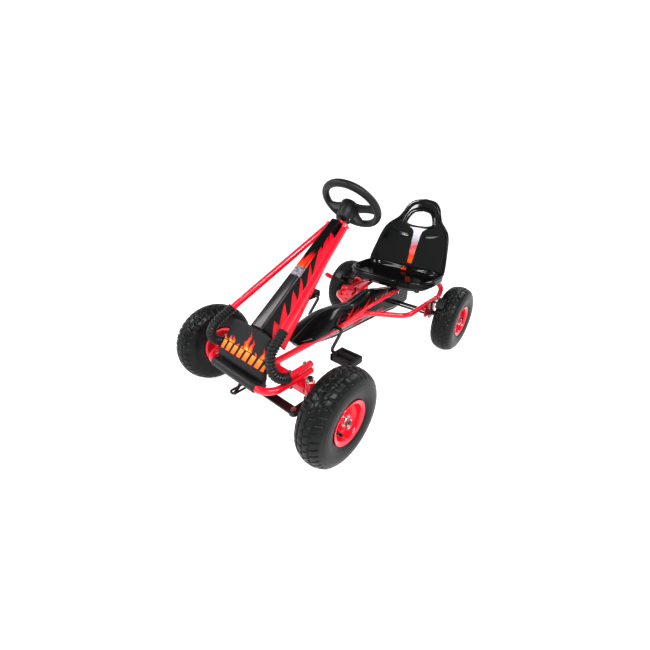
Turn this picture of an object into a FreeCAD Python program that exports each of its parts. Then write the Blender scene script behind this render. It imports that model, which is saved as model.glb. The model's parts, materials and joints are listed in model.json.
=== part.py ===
import FreeCAD, Part
import math
import os
import Sketcher
from FreeCAD import Placement, Rotation, Vector

# Pedal go kart. Millimetres. X to the driver's left, the kart drives towards -Y, Z up.
# The sheet's "stations" are distances behind the front axle; every sub-part drawn in kart
# stations is placed at front_axle_y, which puts the origin under the middle of the kart.

SIZES = {
    # running gear
    "tyre_radius": 130.0, "tyre_width": 85.0, "bead_radius": 51.0, "flange_radius": 60.6,
    "rim_width": 75.8, "hub_radius": 18.0, "hub_bore": 14.0, "bearing_width": 8.0,
    "axle_radius": 6.0, "running_gap": 0.05, "wheelbase": 740.0, "front_track": 536.0,
    "rear_track": 519.0, "front_axle_y": -389.12,
    # frame
    "tube_radius": 9.5, "tube_wall": 1.6, "rail_half_gap": 39.0, "rail_level": 184.0,
    "hoop_half_width": 168.0, "hoop_end": 806.0, "hoop_top": 234.0, "beam_size": 25.0,
    "beam_level": 157.5, "kingpin_half_gap": 173.0, "kingpin_boss_radius": 13.0,
    "bumper_level": 182.5, "bumper_front": -107.0, "bumper_half_width": 137.0,
    "upper_level": 203.0, "front_tube_end": 42.0, "hanger_thickness": 4.0,
    # steering
    "steer_rod_radius": 6.0, "steer_wheel_station": 369.0, "steer_wheel_level": 566.0,
    "steer_wheel_radius": 101.0, "steer_grip_radius": 11.0, "steer_crank": 26.0,
    "arm_length": 60.0, "arm_level": 122.5, "arm_thickness": 5.0, "arm_width": 25.0,
    # drive
    "chain_pitch": 12.7, "ring_teeth": 20.0, "sprocket_teeth": 12.0, "sprocket_width": 3.0,
    "crank_station": 255.0, "crank_level": 200.0, "crank_length": 78.0,
    "crank_half_width": 76.0, "spindle_radius": 5.0, "pedal_length": 58.0,
    "pedal_width": 82.0, "pedal_height": 24.0, "guard_half_width": 28.0, "guard_wall": 2.5,
    # brake
    "brake_station": 690.0, "brake_level": 140.0, "brake_rod_radius": 4.0, "pad_gap": 4.0,
    "pad_depth": 12.0, "pad_width": 30.0,
    # seat
    "seat_base_level": 246.0, "pan_height": 40.0, "pan_half_width": 184.0,
    "pan_front": 578.0, "pan_rear": 802.0, "back_lean": 17.0, "back_thickness": 16.0,
    "back_curve_radius": 430.0, "seat_top_level": 550.0,
}

DOC = FreeCAD.newDocument("pedal_go_kart")
NODES = []
SHEET = DOC.addObject("Spreadsheet::Sheet", "Sizes")
for row, (alias, value) in enumerate(SIZES.items(), 1):
    SHEET.set(f"A{row}", alias)
    SHEET.set(f"B{row}", str(value))
    SHEET.setAlias(f"B{row}", alias)
DOC.recompute()


class Size:
    """A number that remembers the sheet expression it comes from."""

    def __init__(self, value, text):
        self.value = float(value)
        self.text = text

    def join(self, other, sign, result):
        return Size(result, f"({self.text} {sign} {text_of(other)})")

    def __add__(self, other):
        return self.join(other, "+", self.value + number(other))

    def __sub__(self, other):
        return self.join(other, "-", self.value - number(other))

    def __mul__(self, other):
        return self.join(other, "*", self.value * number(other))

    def __truediv__(self, other):
        return self.join(other, "/", self.value / number(other))

    def __neg__(self):
        return Size(-self.value, f"(0 - {self.text})")

    def __radd__(self, other):
        return Size(other + self.value, f"({other} + {self.text})")

    def __rsub__(self, other):
        return Size(other - self.value, f"({other} - {self.text})")

    def __rmul__(self, other):
        return Size(other * self.value, f"({other} * {self.text})")


def number(value):
    return value.value if isinstance(value, Size) else float(value)


def text_of(value):
    return value.text if isinstance(value, Size) else f"({value})"


def size(alias):
    return Size(SHEET.get(alias), f"Sizes.{alias}")


def mm(alias):
    return float(SHEET.get(alias))


def bind(item, prop, value):
    """Give a property its value, and its expression where it comes from the sheet."""
    if isinstance(value, Size):
        item.setExpression(prop, value.text)
    elif "." not in prop:
        setattr(item, prop, value)


def place(item, at, turn=None):
    item.Placement = Placement(Vector(*[number(v) for v in at]), turn or Rotation())
    for axis, value in zip("xyz", at):
        bind(item, f".Placement.Base.{axis}", value)


def add_node(item, name):
    item.Label = name
    NODES.append(item)
    return item


KART = (0, size("front_axle_y"), 0)


# ---------------------------------------------------------------- sketches and bodies

def new_body(name, at=KART, turn=None):
    body = DOC.addObject("PartDesign::Body", name)
    place(body, at, turn)
    return body


def sketch_on(body, role, offset=0.0):
    drawing = body.newObject("Sketcher::SketchObject", "Sketch")
    plane = next(f for f in body.Origin.OriginFeatures if f.Role == role)
    drawing.AttachmentSupport = [(plane, "")]
    drawing.MapMode = "FlatFace"
    drawing.AttachmentOffset = Placement(Vector(0, 0, number(offset)), Rotation())
    bind(drawing, ".AttachmentOffset.Base.z", offset)
    return drawing


def pin_point(drawing, piece, end, point):
    """Hold one sketch point at its place, through the sheet where the place is a Size."""
    for kind, axis, value in (("DistanceX", -2, point[0]), ("DistanceY", -1, point[1])):
        if abs(number(value)) < 1e-9:
            drawing.addConstraint(Sketcher.Constraint("PointOnObject", piece, end, axis))
            continue
        index = drawing.addConstraint(Sketcher.Constraint(kind, -1, 1, piece, end, number(value)))
        if isinstance(value, Size):
            drawing.setExpression(f"Constraints[{index}]", value.text)


def draw_outline(drawing, points):
    """A closed outline. A point is (x, y), or (x, y, via) where an arc leads to it."""
    flat = [Vector(number(p[0]), number(p[1]), 0) for p in points]
    pieces = []
    for index, point in enumerate(points):
        start, end = flat[index - 1], flat[index]
        swapped = False
        if len(point) == 3:
            via = Vector(*point[2], 0)
            swapped = (via - start).cross(end - via).z < 0
            arc = Part.Arc(end, via, start) if swapped else Part.Arc(start, via, end)
            piece = drawing.addGeometry(arc, False)
            radius = drawing.Geometry[piece].Radius
            drawing.addConstraint(Sketcher.Constraint("Radius", piece, radius))
        else:
            piece = drawing.addGeometry(Part.LineSegment(start, end), False)
        pieces.append((piece, 2 if swapped else 1, 1 if swapped else 2))
    for index, (piece, _, end) in enumerate(pieces):
        following, first, _ = pieces[(index + 1) % len(pieces)]
        drawing.addConstraint(Sketcher.Constraint("Coincident", piece, end, following, first))
        pin_point(drawing, piece, end, points[index])
    return drawing


def draw_circle(drawing, centre, radius):
    circle = Part.Circle(Vector(number(centre[0]), number(centre[1]), 0), Vector(0, 0, 1),
                         number(radius))
    piece = drawing.addGeometry(circle, False)
    pin_point(drawing, piece, 3, centre)
    index = drawing.addConstraint(Sketcher.Constraint("Radius", piece, number(radius)))
    if isinstance(radius, Size):
        drawing.setExpression(f"Constraints[{index}]", radius.text)
    return drawing


def pad(body, drawing, length, middle=True):
    feature = body.newObject("PartDesign::Pad", "Pad")
    feature.Profile = drawing
    feature.Length = number(length)
    bind(feature, "Length", length)
    feature.SideType = "Symmetric" if middle else "One side"
    return feature


def pocket(body, drawing, depth=None, backwards=False):
    feature = body.newObject("PartDesign::Pocket", "Pocket")
    feature.Profile = drawing
    feature.Reversed = backwards
    if depth is None:
        feature.Type = "ThroughAll"
        feature.SideType = "Symmetric"
    else:
        feature.Length = number(depth)
        bind(feature, "Length", depth)
    return feature


def turned(body, drawing, axis="H_Axis"):
    feature = body.newObject("PartDesign::Revolution", "Revolution")
    feature.Profile = drawing
    feature.ReferenceAxis = (drawing, [axis])
    feature.Angle = 360.0
    return feature


def around(body, feature, drawing, count):
    """Repeat a feature about its sketch's own normal."""
    pattern = body.newObject("PartDesign::PolarPattern", "PolarPattern")
    pattern.Originals = [feature]
    pattern.Axis = (drawing, ["N_Axis"])
    pattern.Angle = 360.0
    pattern.Occurrences = count
    body.Tip = pattern
    return pattern


def round_edges(body, base, radius, wanted):
    """Fillet the edges of the base feature that the test picks."""
    DOC.recompute()
    names = [f"Edge{n}" for n, edge in enumerate(base.Shape.Edges, 1) if wanted(edge)]
    feature = body.newObject("PartDesign::Fillet", "Fillet")
    feature.Base = (base, names)
    feature.Radius = radius
    return feature


# ---------------------------------------------------------------- primitives and tubes

def turn_to(direction):
    return Rotation(Vector(0, 0, 1), Vector(*direction))


def cylinder(radius, height, at, direction=(0, 0, 1)):
    """A cylinder from a point along a direction."""
    item = DOC.addObject("Part::Cylinder", "Cylinder")
    item.Radius = number(radius)
    item.Height = number(height)
    bind(item, "Radius", radius)
    bind(item, "Height", height)
    place(item, at, turn_to(direction))
    return item


def box(lengths, at, turn=None):
    item = DOC.addObject("Part::Box", "Box")
    for prop, value in zip(("Length", "Width", "Height"), lengths):
        setattr(item, prop, number(value))
        bind(item, prop, value)
    place(item, at, turn)
    return item


def bar(width, thickness, start, end, rise=2.0):
    """A flat bar between two points, its thickness along X."""
    a, b = Vector(*start), Vector(*end)
    run = b - a
    angle = math.degrees(math.atan2(run.z, run.y))
    turn = Rotation(Vector(1, 0, 0), angle)
    corner = a - turn.multVec(Vector(thickness / 2, rise, width / 2))
    return box((thickness, run.Length + 2 * rise, width), tuple(corner), turn)


def cut(base, *tools):
    item = DOC.addObject("Part::Cut", "Cut")
    item.Base = base
    item.Tool = tools[0] if len(tools) == 1 else fuse(*tools)
    return item


def fuse(*parts):
    item = DOC.addObject("Part::MultiFuse", "Fuse")
    item.Shapes = list(parts)
    item.Refine = True
    return item


def group(*parts):
    """Several separate solids in one node."""
    item = DOC.addObject("Part::Compound", "Group")
    item.Links = list(parts)
    return item


def bent_wire(corners, radii):
    """Straight runs joined by tangent arcs, one radius for each inner corner."""
    edges = []
    start = Vector(*corners[0])
    for index in range(1, len(corners) - 1):
        before, here, after = (Vector(*corners[index + step]) for step in (-1, 0, 1))
        back = (before - here).normalize()
        ahead = (after - here).normalize()
        half = back.getAngle(ahead) / 2
        reach = radii[index - 1] / math.tan(half)
        centre = here + (back + ahead).normalize() * (radii[index - 1] / math.sin(half))
        middle = centre + (here - centre).normalize() * radii[index - 1]
        first, last = here + back * reach, here + ahead * reach
        if start.distanceToPoint(first) > 1e-4:
            edges.append(Part.makeLine(start, first))
        edges.append(Part.Arc(first, middle, last).toShape())
        start = last
    edges.append(Part.makeLine(start, Vector(*corners[-1])))
    return Part.Wire(edges)


def rod(corners, radii, radius):
    """A round rod swept along straight runs and arcs."""
    path = DOC.addObject("Part::Feature", "Path")
    path.Shape = bent_wire(corners, radii)
    section = DOC.addObject("Part::Circle", "Section")
    section.Radius = number(radius)
    bind(section, "Radius", radius)
    run = Vector(*corners[1]) - Vector(*corners[0])
    section.Placement = Placement(Vector(*corners[0]), turn_to(tuple(run)))
    sweep = DOC.addObject("Part::Sweep", "Sweep")
    sweep.Sections = [section]
    DOC.recompute()
    names = [f"Edge{n}" for n in range(1, len(path.Shape.Edges) + 1)]
    sweep.Spine = (path, names)
    sweep.Solid = True
    return sweep


def tube(corners, radii, outer=None, wall=None):
    outer = outer or size("tube_radius")
    return cut(rod(corners, radii, outer), rod(corners, radii, outer - (wall or size("tube_wall"))))


def mirrored(item):
    """The same object on the other side of the kart."""
    copy = DOC.addObject("Part::Mirroring", "Mirror")
    copy.Source = item
    copy.Base = Vector(0, 0, 0)
    copy.Normal = Vector(1, 0, 0)
    return copy


def node(item, name):
    """A finished sub-part drawn in kart stations."""
    holder = DOC.addObject("Part::Compound", name)
    holder.Links = [item]
    place(holder, KART)
    return add_node(holder, name)


def handed(builder, name):
    """Left and right nodes of one sub-part."""
    node(builder(), f"{name}_left")
    node(mirrored(builder()), f"{name}_right")


# ---------------------------------------------------------------- wheels

def tyre(name, at):
    body = new_body(name, at)
    half = size("tyre_width") / 2
    bead, crown = size("bead_radius"), size("tyre_radius")
    shoulder = (31.0, 121.0)
    lining = (26.0, 114.0)
    flange = size("rim_width") / 2 - 3.5
    drawing = draw_outline(sketch_on(body, "XY_Plane"), [
        (22.0, bead, (36.5, 88.0)), (flange, bead), (flange, 62.0),
        (*shoulder, (number(half), 92.0)),
        (-shoulder[0], shoulder[1], (0.0, number(crown))),
        (-flange, 62.0, (-number(half), 92.0)),
        (-flange, bead), (-22.0, bead),
        (-lining[0], lining[1], (-36.5, 88.0)),
        (*lining, (0.0, 122.0)),
    ])
    turned(body, drawing)
    return add_node(body, name)


def rim(name, at, outward):
    body = new_body(name, at, Rotation(Vector(0, 0, 1), 0 if outward > 0 else 180))
    half = size("rim_width") / 2
    barrel, flange = size("bead_radius"), size("flange_radius")
    hub, bore = size("hub_radius"), size("hub_bore")
    drawing = draw_outline(sketch_on(body, "XY_Plane"), [
        (24.0, bore), (24.0, hub), (11.0, hub), (11.0, 40.0), (17.0, barrel - 3.0),
        (half - 3.5, barrel - 3.0), (half - 1.5, flange - 2.5), (half, flange - 2.5),
        (half, flange), (half - 3.5, flange), (half - 3.5, barrel),
        (-half + 3.5, barrel), (-half + 3.5, flange), (-half, flange),
        (-half, flange - 2.5), (-half + 1.5, flange - 2.5), (-half + 3.5, barrel - 3.0),
        (12.0, barrel - 3.0), (8.0, 42.0), (8.0, hub), (-30.0, hub), (-30.0, bore),
    ])
    turned(body, drawing)
    return add_node(body, name)


def bearing_pair(name, at, outward, gap=None):
    """Two bearings in the ends of a hub, each a ring with a raised inner race."""
    gap = size("running_gap") if gap is None else gap
    parts = []
    for start in (16.0, -30.0):
        lip = 24.0 if start > 0 else -30.6
        outer = cylinder(size("hub_bore"), size("bearing_width"), (start, 0, 0), (1, 0, 0))
        race = cylinder(size("axle_radius") + 2.5, 0.6, (lip, 0, 0), (1, 0, 0))
        bore = cylinder(size("axle_radius") + gap, 20.0, (start - 5.0, 0, 0), (1, 0, 0))
        parts.append(cut(fuse(outer, race), bore))
    item = group(*parts)
    item.Placement = Placement(Vector(), Rotation(Vector(0, 0, 1), 0 if outward > 0 else 180))
    holder = DOC.addObject("Part::Compound", name)
    holder.Links = [item]
    place(holder, at)
    return add_node(holder, name)


def make_wheel(side, outward, station, track, sleeve):
    at = (track / 2 * outward, size("front_axle_y") + station, size("tyre_radius"))
    tyre(f"tyre_{side}", at)
    rim(f"rim_{side}", at, outward)
    gap = 0.0 if sleeve == "drive_sleeves" else None
    bearing_pair(f"{sleeve}_{side}", at, outward, gap)


def make_wheels():
    front, rear = size("front_track"), size("rear_track")
    make_wheel("front_left", 1, 0.0, front, "bearings")
    make_wheel("front_right", -1, 0.0, front, "bearings")
    make_wheel("rear_left", 1, size("wheelbase"), rear, "drive_sleeves")
    make_wheel("rear_right", -1, size("wheelbase"), rear, "bearings")


def nut(at, direction, across, height, bore):
    """A hexagon nut from a point along a direction."""
    prism = DOC.addObject("Part::Prism", "Hexagon")
    prism.Polygon = 6
    prism.Circumradius = across / math.sqrt(3.0)
    prism.Height = height
    place(prism, at, turn_to(direction))
    end = Vector(*[number(v) for v in at]) - Vector(*direction)
    return cut(prism, cylinder(bore, height + 2.0, tuple(end), direction))


def washer(at, direction, radius, height, bore):
    end = Vector(*[number(v) for v in at]) - Vector(*direction)
    return cut(cylinder(radius, height, at, direction),
               cylinder(bore, height + 2.0, tuple(end), direction))


# ---------------------------------------------------------------- frame

def loop_corners():
    gap, level, half = mm("rail_half_gap"), mm("rail_level"), mm("hoop_half_width")
    end, top = mm("hoop_end"), mm("hoop_top")
    left = [(gap, -16.0, level), (gap, 445.0, level), (half - 2.0, 525.0, level),
            (half, end, level), (half, end, top)]
    return left + [(-x, y, z) for x, y, z in reversed(left)]


LOOP_BENDS = [55.0, 60.0, 24.0, 24.0, 24.0, 24.0, 60.0, 55.0]


def loop_rod():
    return rod(loop_corners(), LOOP_BENDS, size("tube_radius"))


def make_main_frame():
    node(tube(loop_corners(), LOOP_BENDS), "main_frame_tube")


STEER_AXIS = Vector(0, 1, 1).normalize()
STEER_LIFT = Vector(0, -1, 1).normalize()


def on_steering_axis(station):
    """The point of the 45 degree steering axis at a station."""
    level = mm("steer_wheel_level") + station - mm("steer_wheel_station")
    return Vector(0, station, level)


def make_front_axle_beam():
    half, level, side = mm("kingpin_half_gap"), size("beam_level"), size("beam_size")
    boss = size("kingpin_boss_radius")
    beam = box((2 * half, side, side), (-half, -side / 2, level - side / 2))
    inner = side - size("tube_wall") * 2
    bores = [box((2 * half, inner, inner), (-half, -inner / 2, level - inner / 2))]
    parts = []
    for x in (-half, half):
        parts.append(cylinder(boss, 49.0, (x, 0, 137.0)))
        bores.append(cylinder(size("axle_radius") + size("running_gap"), 60.0, (x, 0, 130.0)))
    for x in (mm("rail_half_gap"), mm("bumper_half_width")):
        for side_x in (x, -x):
            parts.append(box((16.0, 25.0, 12.0), (side_x - 8.0, -12.5, 166.0)))
    shell = cut(beam, bores[0])
    bush_foot = on_steering_axis(-31.0) - STEER_AXIS * 13
    bush = cylinder(10.0, 26.0, tuple(bush_foot), tuple(STEER_AXIS))
    gusset = box((16.0, 22.0, 14.0), (-8.0, -34.5, 147.0))
    bore_foot = bush_foot - STEER_AXIS * 10
    bore = cylinder(size("steer_rod_radius") + size("running_gap"), 46.0, tuple(bore_foot),
                    tuple(STEER_AXIS))
    weldment = fuse(shell, *parts, bush, gusset)
    seats = [loop_rod(), rod(bumper_corners(), BUMPER_BENDS, size("tube_radius"))]
    node(cut(weldment, *bores[1:], bore, *seats), "front_axle_beam")


def bumper_corners():
    half, front, level = mm("bumper_half_width"), mm("bumper_front"), mm("bumper_level")
    left = [(half, mm("front_tube_end") + 1.0, level), (half, front, level)]
    return left + [(-x, y, z) for x, y, z in reversed(left)]


BUMPER_BENDS = [44.0, 44.0]
CLAMP_STATIONS = (-35.0, 18.0)


def upper_corners():
    """From the open rear end, round the low bend and up to the steering head."""
    return [(136.0, mm("front_tube_end"), mm("upper_level")), (145.5, -201.0, mm("upper_level") + 1.5),
            (31.0, 297.0, 507.0), (30.5, 303.0, 516.0)]


UPPER_BENDS = [48.0, 12.0]


def clamp_hole(station):
    return cylinder(3.05, 70.0, (137.0, station, 160.0))


def make_bumper():
    hollow = tube(bumper_corners(), BUMPER_BENDS)
    holes = [clamp_hole(s) for s in CLAMP_STATIONS]
    holes += [mirrored(clamp_hole(s)) for s in CLAMP_STATIONS]
    node(cut(hollow, *holes), "bumper_tube")
    level, front = size("bumper_level"), size("bumper_front")
    sleeve = cylinder(13.5, 184.0, (-92.0, front, level), (1, 0, 0))
    inside = cylinder(size("tube_radius"), 190.0, (-95.0, front, level), (1, 0, 0))
    node(cut(sleeve, inside), "bumper_sleeve")


def upper_tube():
    lower = rod(bumper_corners(), BUMPER_BENDS, size("tube_radius"))
    holes = [clamp_hole(s) for s in CLAMP_STATIONS]
    return cut(tube(upper_corners(), UPPER_BENDS), lower, *holes)


def corrugated_sleeve():
    """A ribbed cover on the low bend, drawn at the height of its ribs."""
    radius = size("tube_radius")
    corners, bends = upper_corners()[:3], UPPER_BENDS[:1]
    wire = bent_wire(corners, bends)
    bend = wire.Edges[1]
    first, last = bend.valueAt(bend.FirstParameter), bend.valueAt(bend.LastParameter)
    along = (Vector(*corners[2]) - last).normalize()
    start = first + (Vector(*corners[0]) - first).normalize() * 6
    short = [tuple(start), corners[1], tuple(last + along * 52)]
    lower = rod(bumper_corners(), BUMPER_BENDS, radius)
    bolt_room = box((60.0, 60.0, 50.0), (110.0, -43.0, 180.0))
    return cut(rod(short, bends, radius + 4.5), rod(corners, bends, radius), lower, bolt_room)


def make_clamp_bolts():
    parts = []
    for station in CLAMP_STATIONS:
        bolt = fuse(cylinder(3.0, 48.0, (137.0, station, 168.5)),
                    nut((137.0, station, 213.5), (0, 0, 1), 10.0, 5.0, 0.5),
                    nut((137.0, station, 166.5), (0, 0, 1), 10.0, 5.5, 0.5))
        parts += [bolt, mirrored(bolt)]
    node(group(*parts), "frame_bolts")


def make_hangers():
    """Plates under the hoop that carry the rear axle and the brake rod."""
    half, thick = mm("hoop_half_width"), size("hanger_thickness")
    axle_y, axle_z = size("wheelbase"), size("tyre_radius")
    plates = []
    bushes = []
    for side in (1, -1):
        plate = new_body("Plate", (half * side, 0, 0))
        drawing = draw_outline(sketch_on(plate, "YZ_Plane"), [
            (674.0, 178.0), (674.0, 134.0), (684.0, 126.0), (716.0, 124.0), (722.0, 110.0),
            (740.0, 104.0, (729.0, 105.0)), (766.0, 130.0, (758.4, 111.6)), (766.0, 178.0),
        ])
        base = pad(plate, drawing, thick)
        holes = sketch_on(plate, "YZ_Plane")
        draw_circle(holes, (axle_y, axle_z), 9.0)
        draw_circle(holes, (size("brake_station"), size("brake_level")),
                    size("brake_rod_radius") + 0.08)
        pocket(plate, holes)
        plates.append(cut(plate, loop_rod()))
        start = half * side - 5.0
        barrel = cylinder(9.0, 10.0, (start, axle_y, axle_z), (1, 0, 0))
        collar = cylinder(13.0, 3.0, (half + 2.0 if side > 0 else -half - 5.0, axle_y, axle_z),
                          (1, 0, 0))
        bore = cylinder(size("axle_radius") + size("running_gap"), 20.0,
                        (start - 5.0, axle_y, axle_z), (1, 0, 0))
        bushes.append(cut(fuse(barrel, collar), bore))
    node(group(*plates), "axle_hangers")
    node(group(*bushes), "axle_bushes")


def make_crank_hangers():
    """Rings welded to the tops of the rails, with a bush in each."""
    gap, station, level = mm("rail_half_gap"), size("crank_station"), size("crank_level")
    rings = []
    bushes = []
    for side in (1, -1):
        start = gap * side - 8.0
        ring = cut(cylinder(13.0, 16.0, (start, station, level), (1, 0, 0)),
                   cylinder(9.0, 20.0, (start - 2.0, station, level), (1, 0, 0)))
        rings.append(cut(ring, loop_rod()))
        barrel = cylinder(9.0, 16.0, (start, station, level), (1, 0, 0))
        collar = cylinder(12.0, 2.0, (start + 16.0 if side > 0 else start - 2.0, station, level),
                          (1, 0, 0))
        bore = cylinder(size("axle_radius") + size("running_gap"), 30.0,
                        (start - 6.0, station, level), (1, 0, 0))
        clear_of_rail = loop_rod()
        bushes.append(cut(fuse(barrel, collar), bore, clear_of_rail))
    node(group(*rings), "crank_hangers")
    node(group(*bushes), "crank_bushes")


def make_seat_support():
    base = mm("seat_base_level")
    stay = [(46.0, 287.0, 192.0), (47.0, 470.0, 212.0), (60.0, 566.0, 226.0), (66.0, 660.0, 236.0)]
    stays = [cut(rod(stay, [60.0, 60.0], 6.0), loop_rod())]
    stays.append(mirrored(stays[0]))
    plate = box((302.0, 62.0, 5.0), (-151.0, 655.0, base - 5.0))
    holes = [cylinder(3.05, 20.0, (x, y, base - 12.0)) for x in (-130.0, 130.0)
             for y in (686.0, 706.0)]
    shaped = cut(plate, *holes, loop_rod())
    stays = [cut(s, box((302.0, 62.0, 5.0), (-151.0, 655.0, base - 5.0))) for s in stays]
    node(group(*stays), "seat_stays")
    node(shaped, "seat_crossbar")
    bolts = []
    for x in (-130.0, 130.0):
        for y in (686.0, 706.0):
            bolts.append(fuse(cylinder(3.0, 14.0, (x, y, base - 8.5)),
                              nut((x, y, base - 9.0), (0, 0, 1), 10.0, 4.0, 0.5)))
    node(group(*bolts), "seat_bolts")
    buffers = [cylinder(10.0, 14.0, (x, 666.0, base - 19.0)) for x in (-124.0, 124.0)]
    node(group(*buffers), "seat_buffers")


def make_lever_guide():
    """The three-lobed block clamped round the right side tube, beside the brake lever."""
    centre = Vector(-177.0, 597.0, 174.0)
    lobes = [(-14.0, 16.0, 14.0), (15.0, 6.0, 16.0), (-3.0, -17.0, 15.0), (0.0, 0.0, 16.0)]
    parts = [cylinder(radius, 28.0, (centre.x, centre.y + y, centre.z + z), (1, 0, 0))
             for y, z, radius in lobes]
    node(cut(fuse(*parts), loop_rod()), "lever_guide")


def make_steering_head():
    """The plate and bush between the tops of the upper tubes."""
    centre = on_steering_axis(315.0)
    turn = turn_to(tuple(STEER_AXIS))
    corner = centre - turn.multVec(Vector(30.0, 13.0, 2.0))
    plate = box((60.0, 26.0, 4.0), tuple(corner), turn)
    foot = centre - STEER_AXIS * 9
    bush = cylinder(10.0, 20.0, tuple(foot), tuple(STEER_AXIS))
    bore = cylinder(size("steer_rod_radius") + size("running_gap"), 50.0,
                    tuple(foot - STEER_AXIS * 10), tuple(STEER_AXIS))
    tubes = rod(upper_corners(), UPPER_BENDS, size("tube_radius"))
    node(cut(fuse(plate, bush), bore, tubes, mirrored(tubes)), "steering_head")


# ---------------------------------------------------------------- front covers

def make_front_panel():
    body = new_body("front_panel")
    face = [(-44.0, 298.0), (-93.0, 203.0), (-93.0, 168.0)]
    wall = 3.0
    drawing = draw_outline(sketch_on(body, "YZ_Plane"), [
        face[0], face[1], face[2], (face[2][0] + wall, face[2][1]),
        (face[1][0] + wall, face[1][1] - 0.7), (face[0][0] + wall, face[0][1] - 1.5),
    ])
    pad(body, drawing, 212.0)
    for side in (1, -1):
        corner = draw_outline(sketch_on(body, "XZ_Plane"), [
            (side * 70.0, 310.0), (side * 80.0, 286.0), (side * 104.0, 205.0),
            (side * 96.0, 160.0), (side * 130.0, 160.0), (side * 130.0, 310.0),
        ])
        pocket(body, corner)
    add_node(body, "front_panel")


def make_column_cover():
    """A tapered channel over the steering rod: a narrow front and two deep sides."""
    foot, head = Vector(0, -28, 289), Vector(0, 291, 532.3)
    along = (head - foot).normalize()
    turn = Rotation(Vector(1, 0, 0), Vector(0, 1, 0), along, "ZXY")
    deep = turn.multVec(Vector(0, 1, 0))
    flip = -1.0 if deep.z > 0 else 1.0

    def section(at, front, back, depth, wall):
        start = -5.0 if wall else 0.0
        shape = [(front - wall, wall), (back - wall, depth + (5.0 if wall else 0.0))]
        points = shape + [(-x, y) for x, y in reversed(shape)]
        outline = [at + turn.multVec(Vector(x, flip * y, start)) for x, y in points]
        return Part.makePolygon(outline + outline[:1])

    def channel(wall):
        length = (head - foot).Length
        low = section(foot, 22.0, 41.0, 104.0, wall)
        high = section(foot + along * (length + (10.0 if wall else 0.0)), 14.0, 19.0, 40.0, wall)
        return Part.makeLoft([low, high], True, True)

    shell = channel(0.0).cut(channel(2.4))
    sleeve = DOC.addObject("Part::Feature", "Channel")
    sleeve.Shape = shell
    rails = loop_rod()
    node(cut(sleeve, rails), "column_cover")


# ---------------------------------------------------------------- steering

def pin_line(level):
    """The point of the steering crank's pin at a level."""
    start = on_steering_axis(0.0) + STEER_LIFT * mm("steer_crank")
    return start + STEER_AXIS * ((level - start.z) / STEER_AXIS.z)


TIE_TOP = 130.2


def make_steering():
    top = on_steering_axis(338.0)
    low = on_steering_axis(-55.0)
    elbow = low + STEER_LIFT * mm("steer_crank")
    tip = pin_line(119.0)
    body = rod([tuple(top), tuple(low), tuple(elbow), tuple(tip)], [8.0, 8.0],
               size("steer_rod_radius") - 1.5)
    shaft_foot = on_steering_axis(-46.0)
    shaft = cylinder(size("steer_rod_radius"), (top - shaft_foot).Length, tuple(shaft_foot),
                     tuple(STEER_AXIS))
    stop = cylinder(9.0, 3.0, tuple(on_steering_axis(-31.0) + STEER_AXIS * 13.5), tuple(STEER_AXIS))
    node(cut(fuse(body, shaft, stop), steering_bolt()), "steering_rod")
    make_steering_wheel()


BOLT_STATION = 331.0


def steering_bolt():
    """The cross bolt that holds the wheel's hub to the rod."""
    middle = on_steering_axis(BOLT_STATION)
    return cylinder(2.5, 50.0, (-25.0, middle.y, middle.z), (1, 0, 0))


# Heading and half width of each spoke; 90 degrees points at the driver.
SPOKES = ((5.0, 20.0), (90.0, 17.0), (175.0, 20.0))


def make_steering_wheel():
    turn = turn_to(tuple(STEER_AXIS))
    centre = on_steering_axis(mm("steer_wheel_station"))
    at = (0, number(KART[1]) + centre.y, centre.z)
    body = new_body("steering_wheel", at, turn)
    ring = mm("steer_wheel_radius") - mm("steer_grip_radius")
    hub = draw_outline(sketch_on(body, "XZ_Plane"), [
        (0, -5.0), (0, -60.0), (21.0, -60.0), (25.0, -28.0), (31.0, -5.0),
    ])
    turned(body, hub, "V_Axis")
    for heading, half in SPOKES:
        turned_by = math.radians(heading)
        along = Vector(math.cos(turned_by), math.sin(turned_by), 0)
        aside = Vector(-along.y, along.x, 0)
        reach = ring - 2.0
        corners = [along * 12 - aside * 15, along * reach - aside * half,
                   along * reach + aside * half, along * 12 + aside * 15]
        spoke = draw_outline(sketch_on(body, "XY_Plane", -12.0), [(p.x, p.y) for p in corners])
        pad(body, spoke, 8.0, middle=False)
    slot = sketch_on(body, "XZ_Plane")
    draw_circle(slot, (ring, 0), size("steer_grip_radius"))
    turned(body, slot, "V_Axis")
    bore = sketch_on(body, "XY_Plane", -65.0)
    draw_circle(bore, (0, 0), size("steer_rod_radius"))
    pocket(body, bore, 22.0, backwards=True)
    depth = (on_steering_axis(BOLT_STATION) - centre).Length
    cross = sketch_on(body, "YZ_Plane")
    draw_circle(cross, (0, -depth), 2.5)
    pocket(body, cross)
    add_node(body, "steering_wheel")
    node(steering_bolt(), "steering_bolt")


def arm_plate(level, thickness, half, station_end):
    width = size("arm_width")
    strip = box((width, station_end, thickness), (half - width / 2, -station_end, level))
    tip = cylinder(width / 2, thickness, (half, -station_end, level))
    return fuse(strip, tip)


def knuckle(side):
    half, station = mm("kingpin_half_gap"), size("arm_length")
    thickness = size("arm_thickness")
    axle, level = size("axle_radius"), size("tyre_radius")
    pin = cylinder(axle, 82.0, (half, 0, 118.0))
    block = box((24.0, 24.0, 18.8), (half - 12.0, -12.0, 118.0))
    stub = cylinder(axle, 131.5, (half, 0, level), (1, 0, 0))
    shoulder = cylinder(9.0, 50.0, (half + 14.0, 0, level), (1, 0, 0))
    plate = arm_plate(size("arm_level") - 2.5, thickness, half, station)
    hole = cylinder(4.0 + size("running_gap"), 20.0, (half, -station, 112.0))
    item = cut(fuse(pin, block, stub, shoulder, plate), hole)
    return item if side > 0 else mirrored(item)


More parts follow.
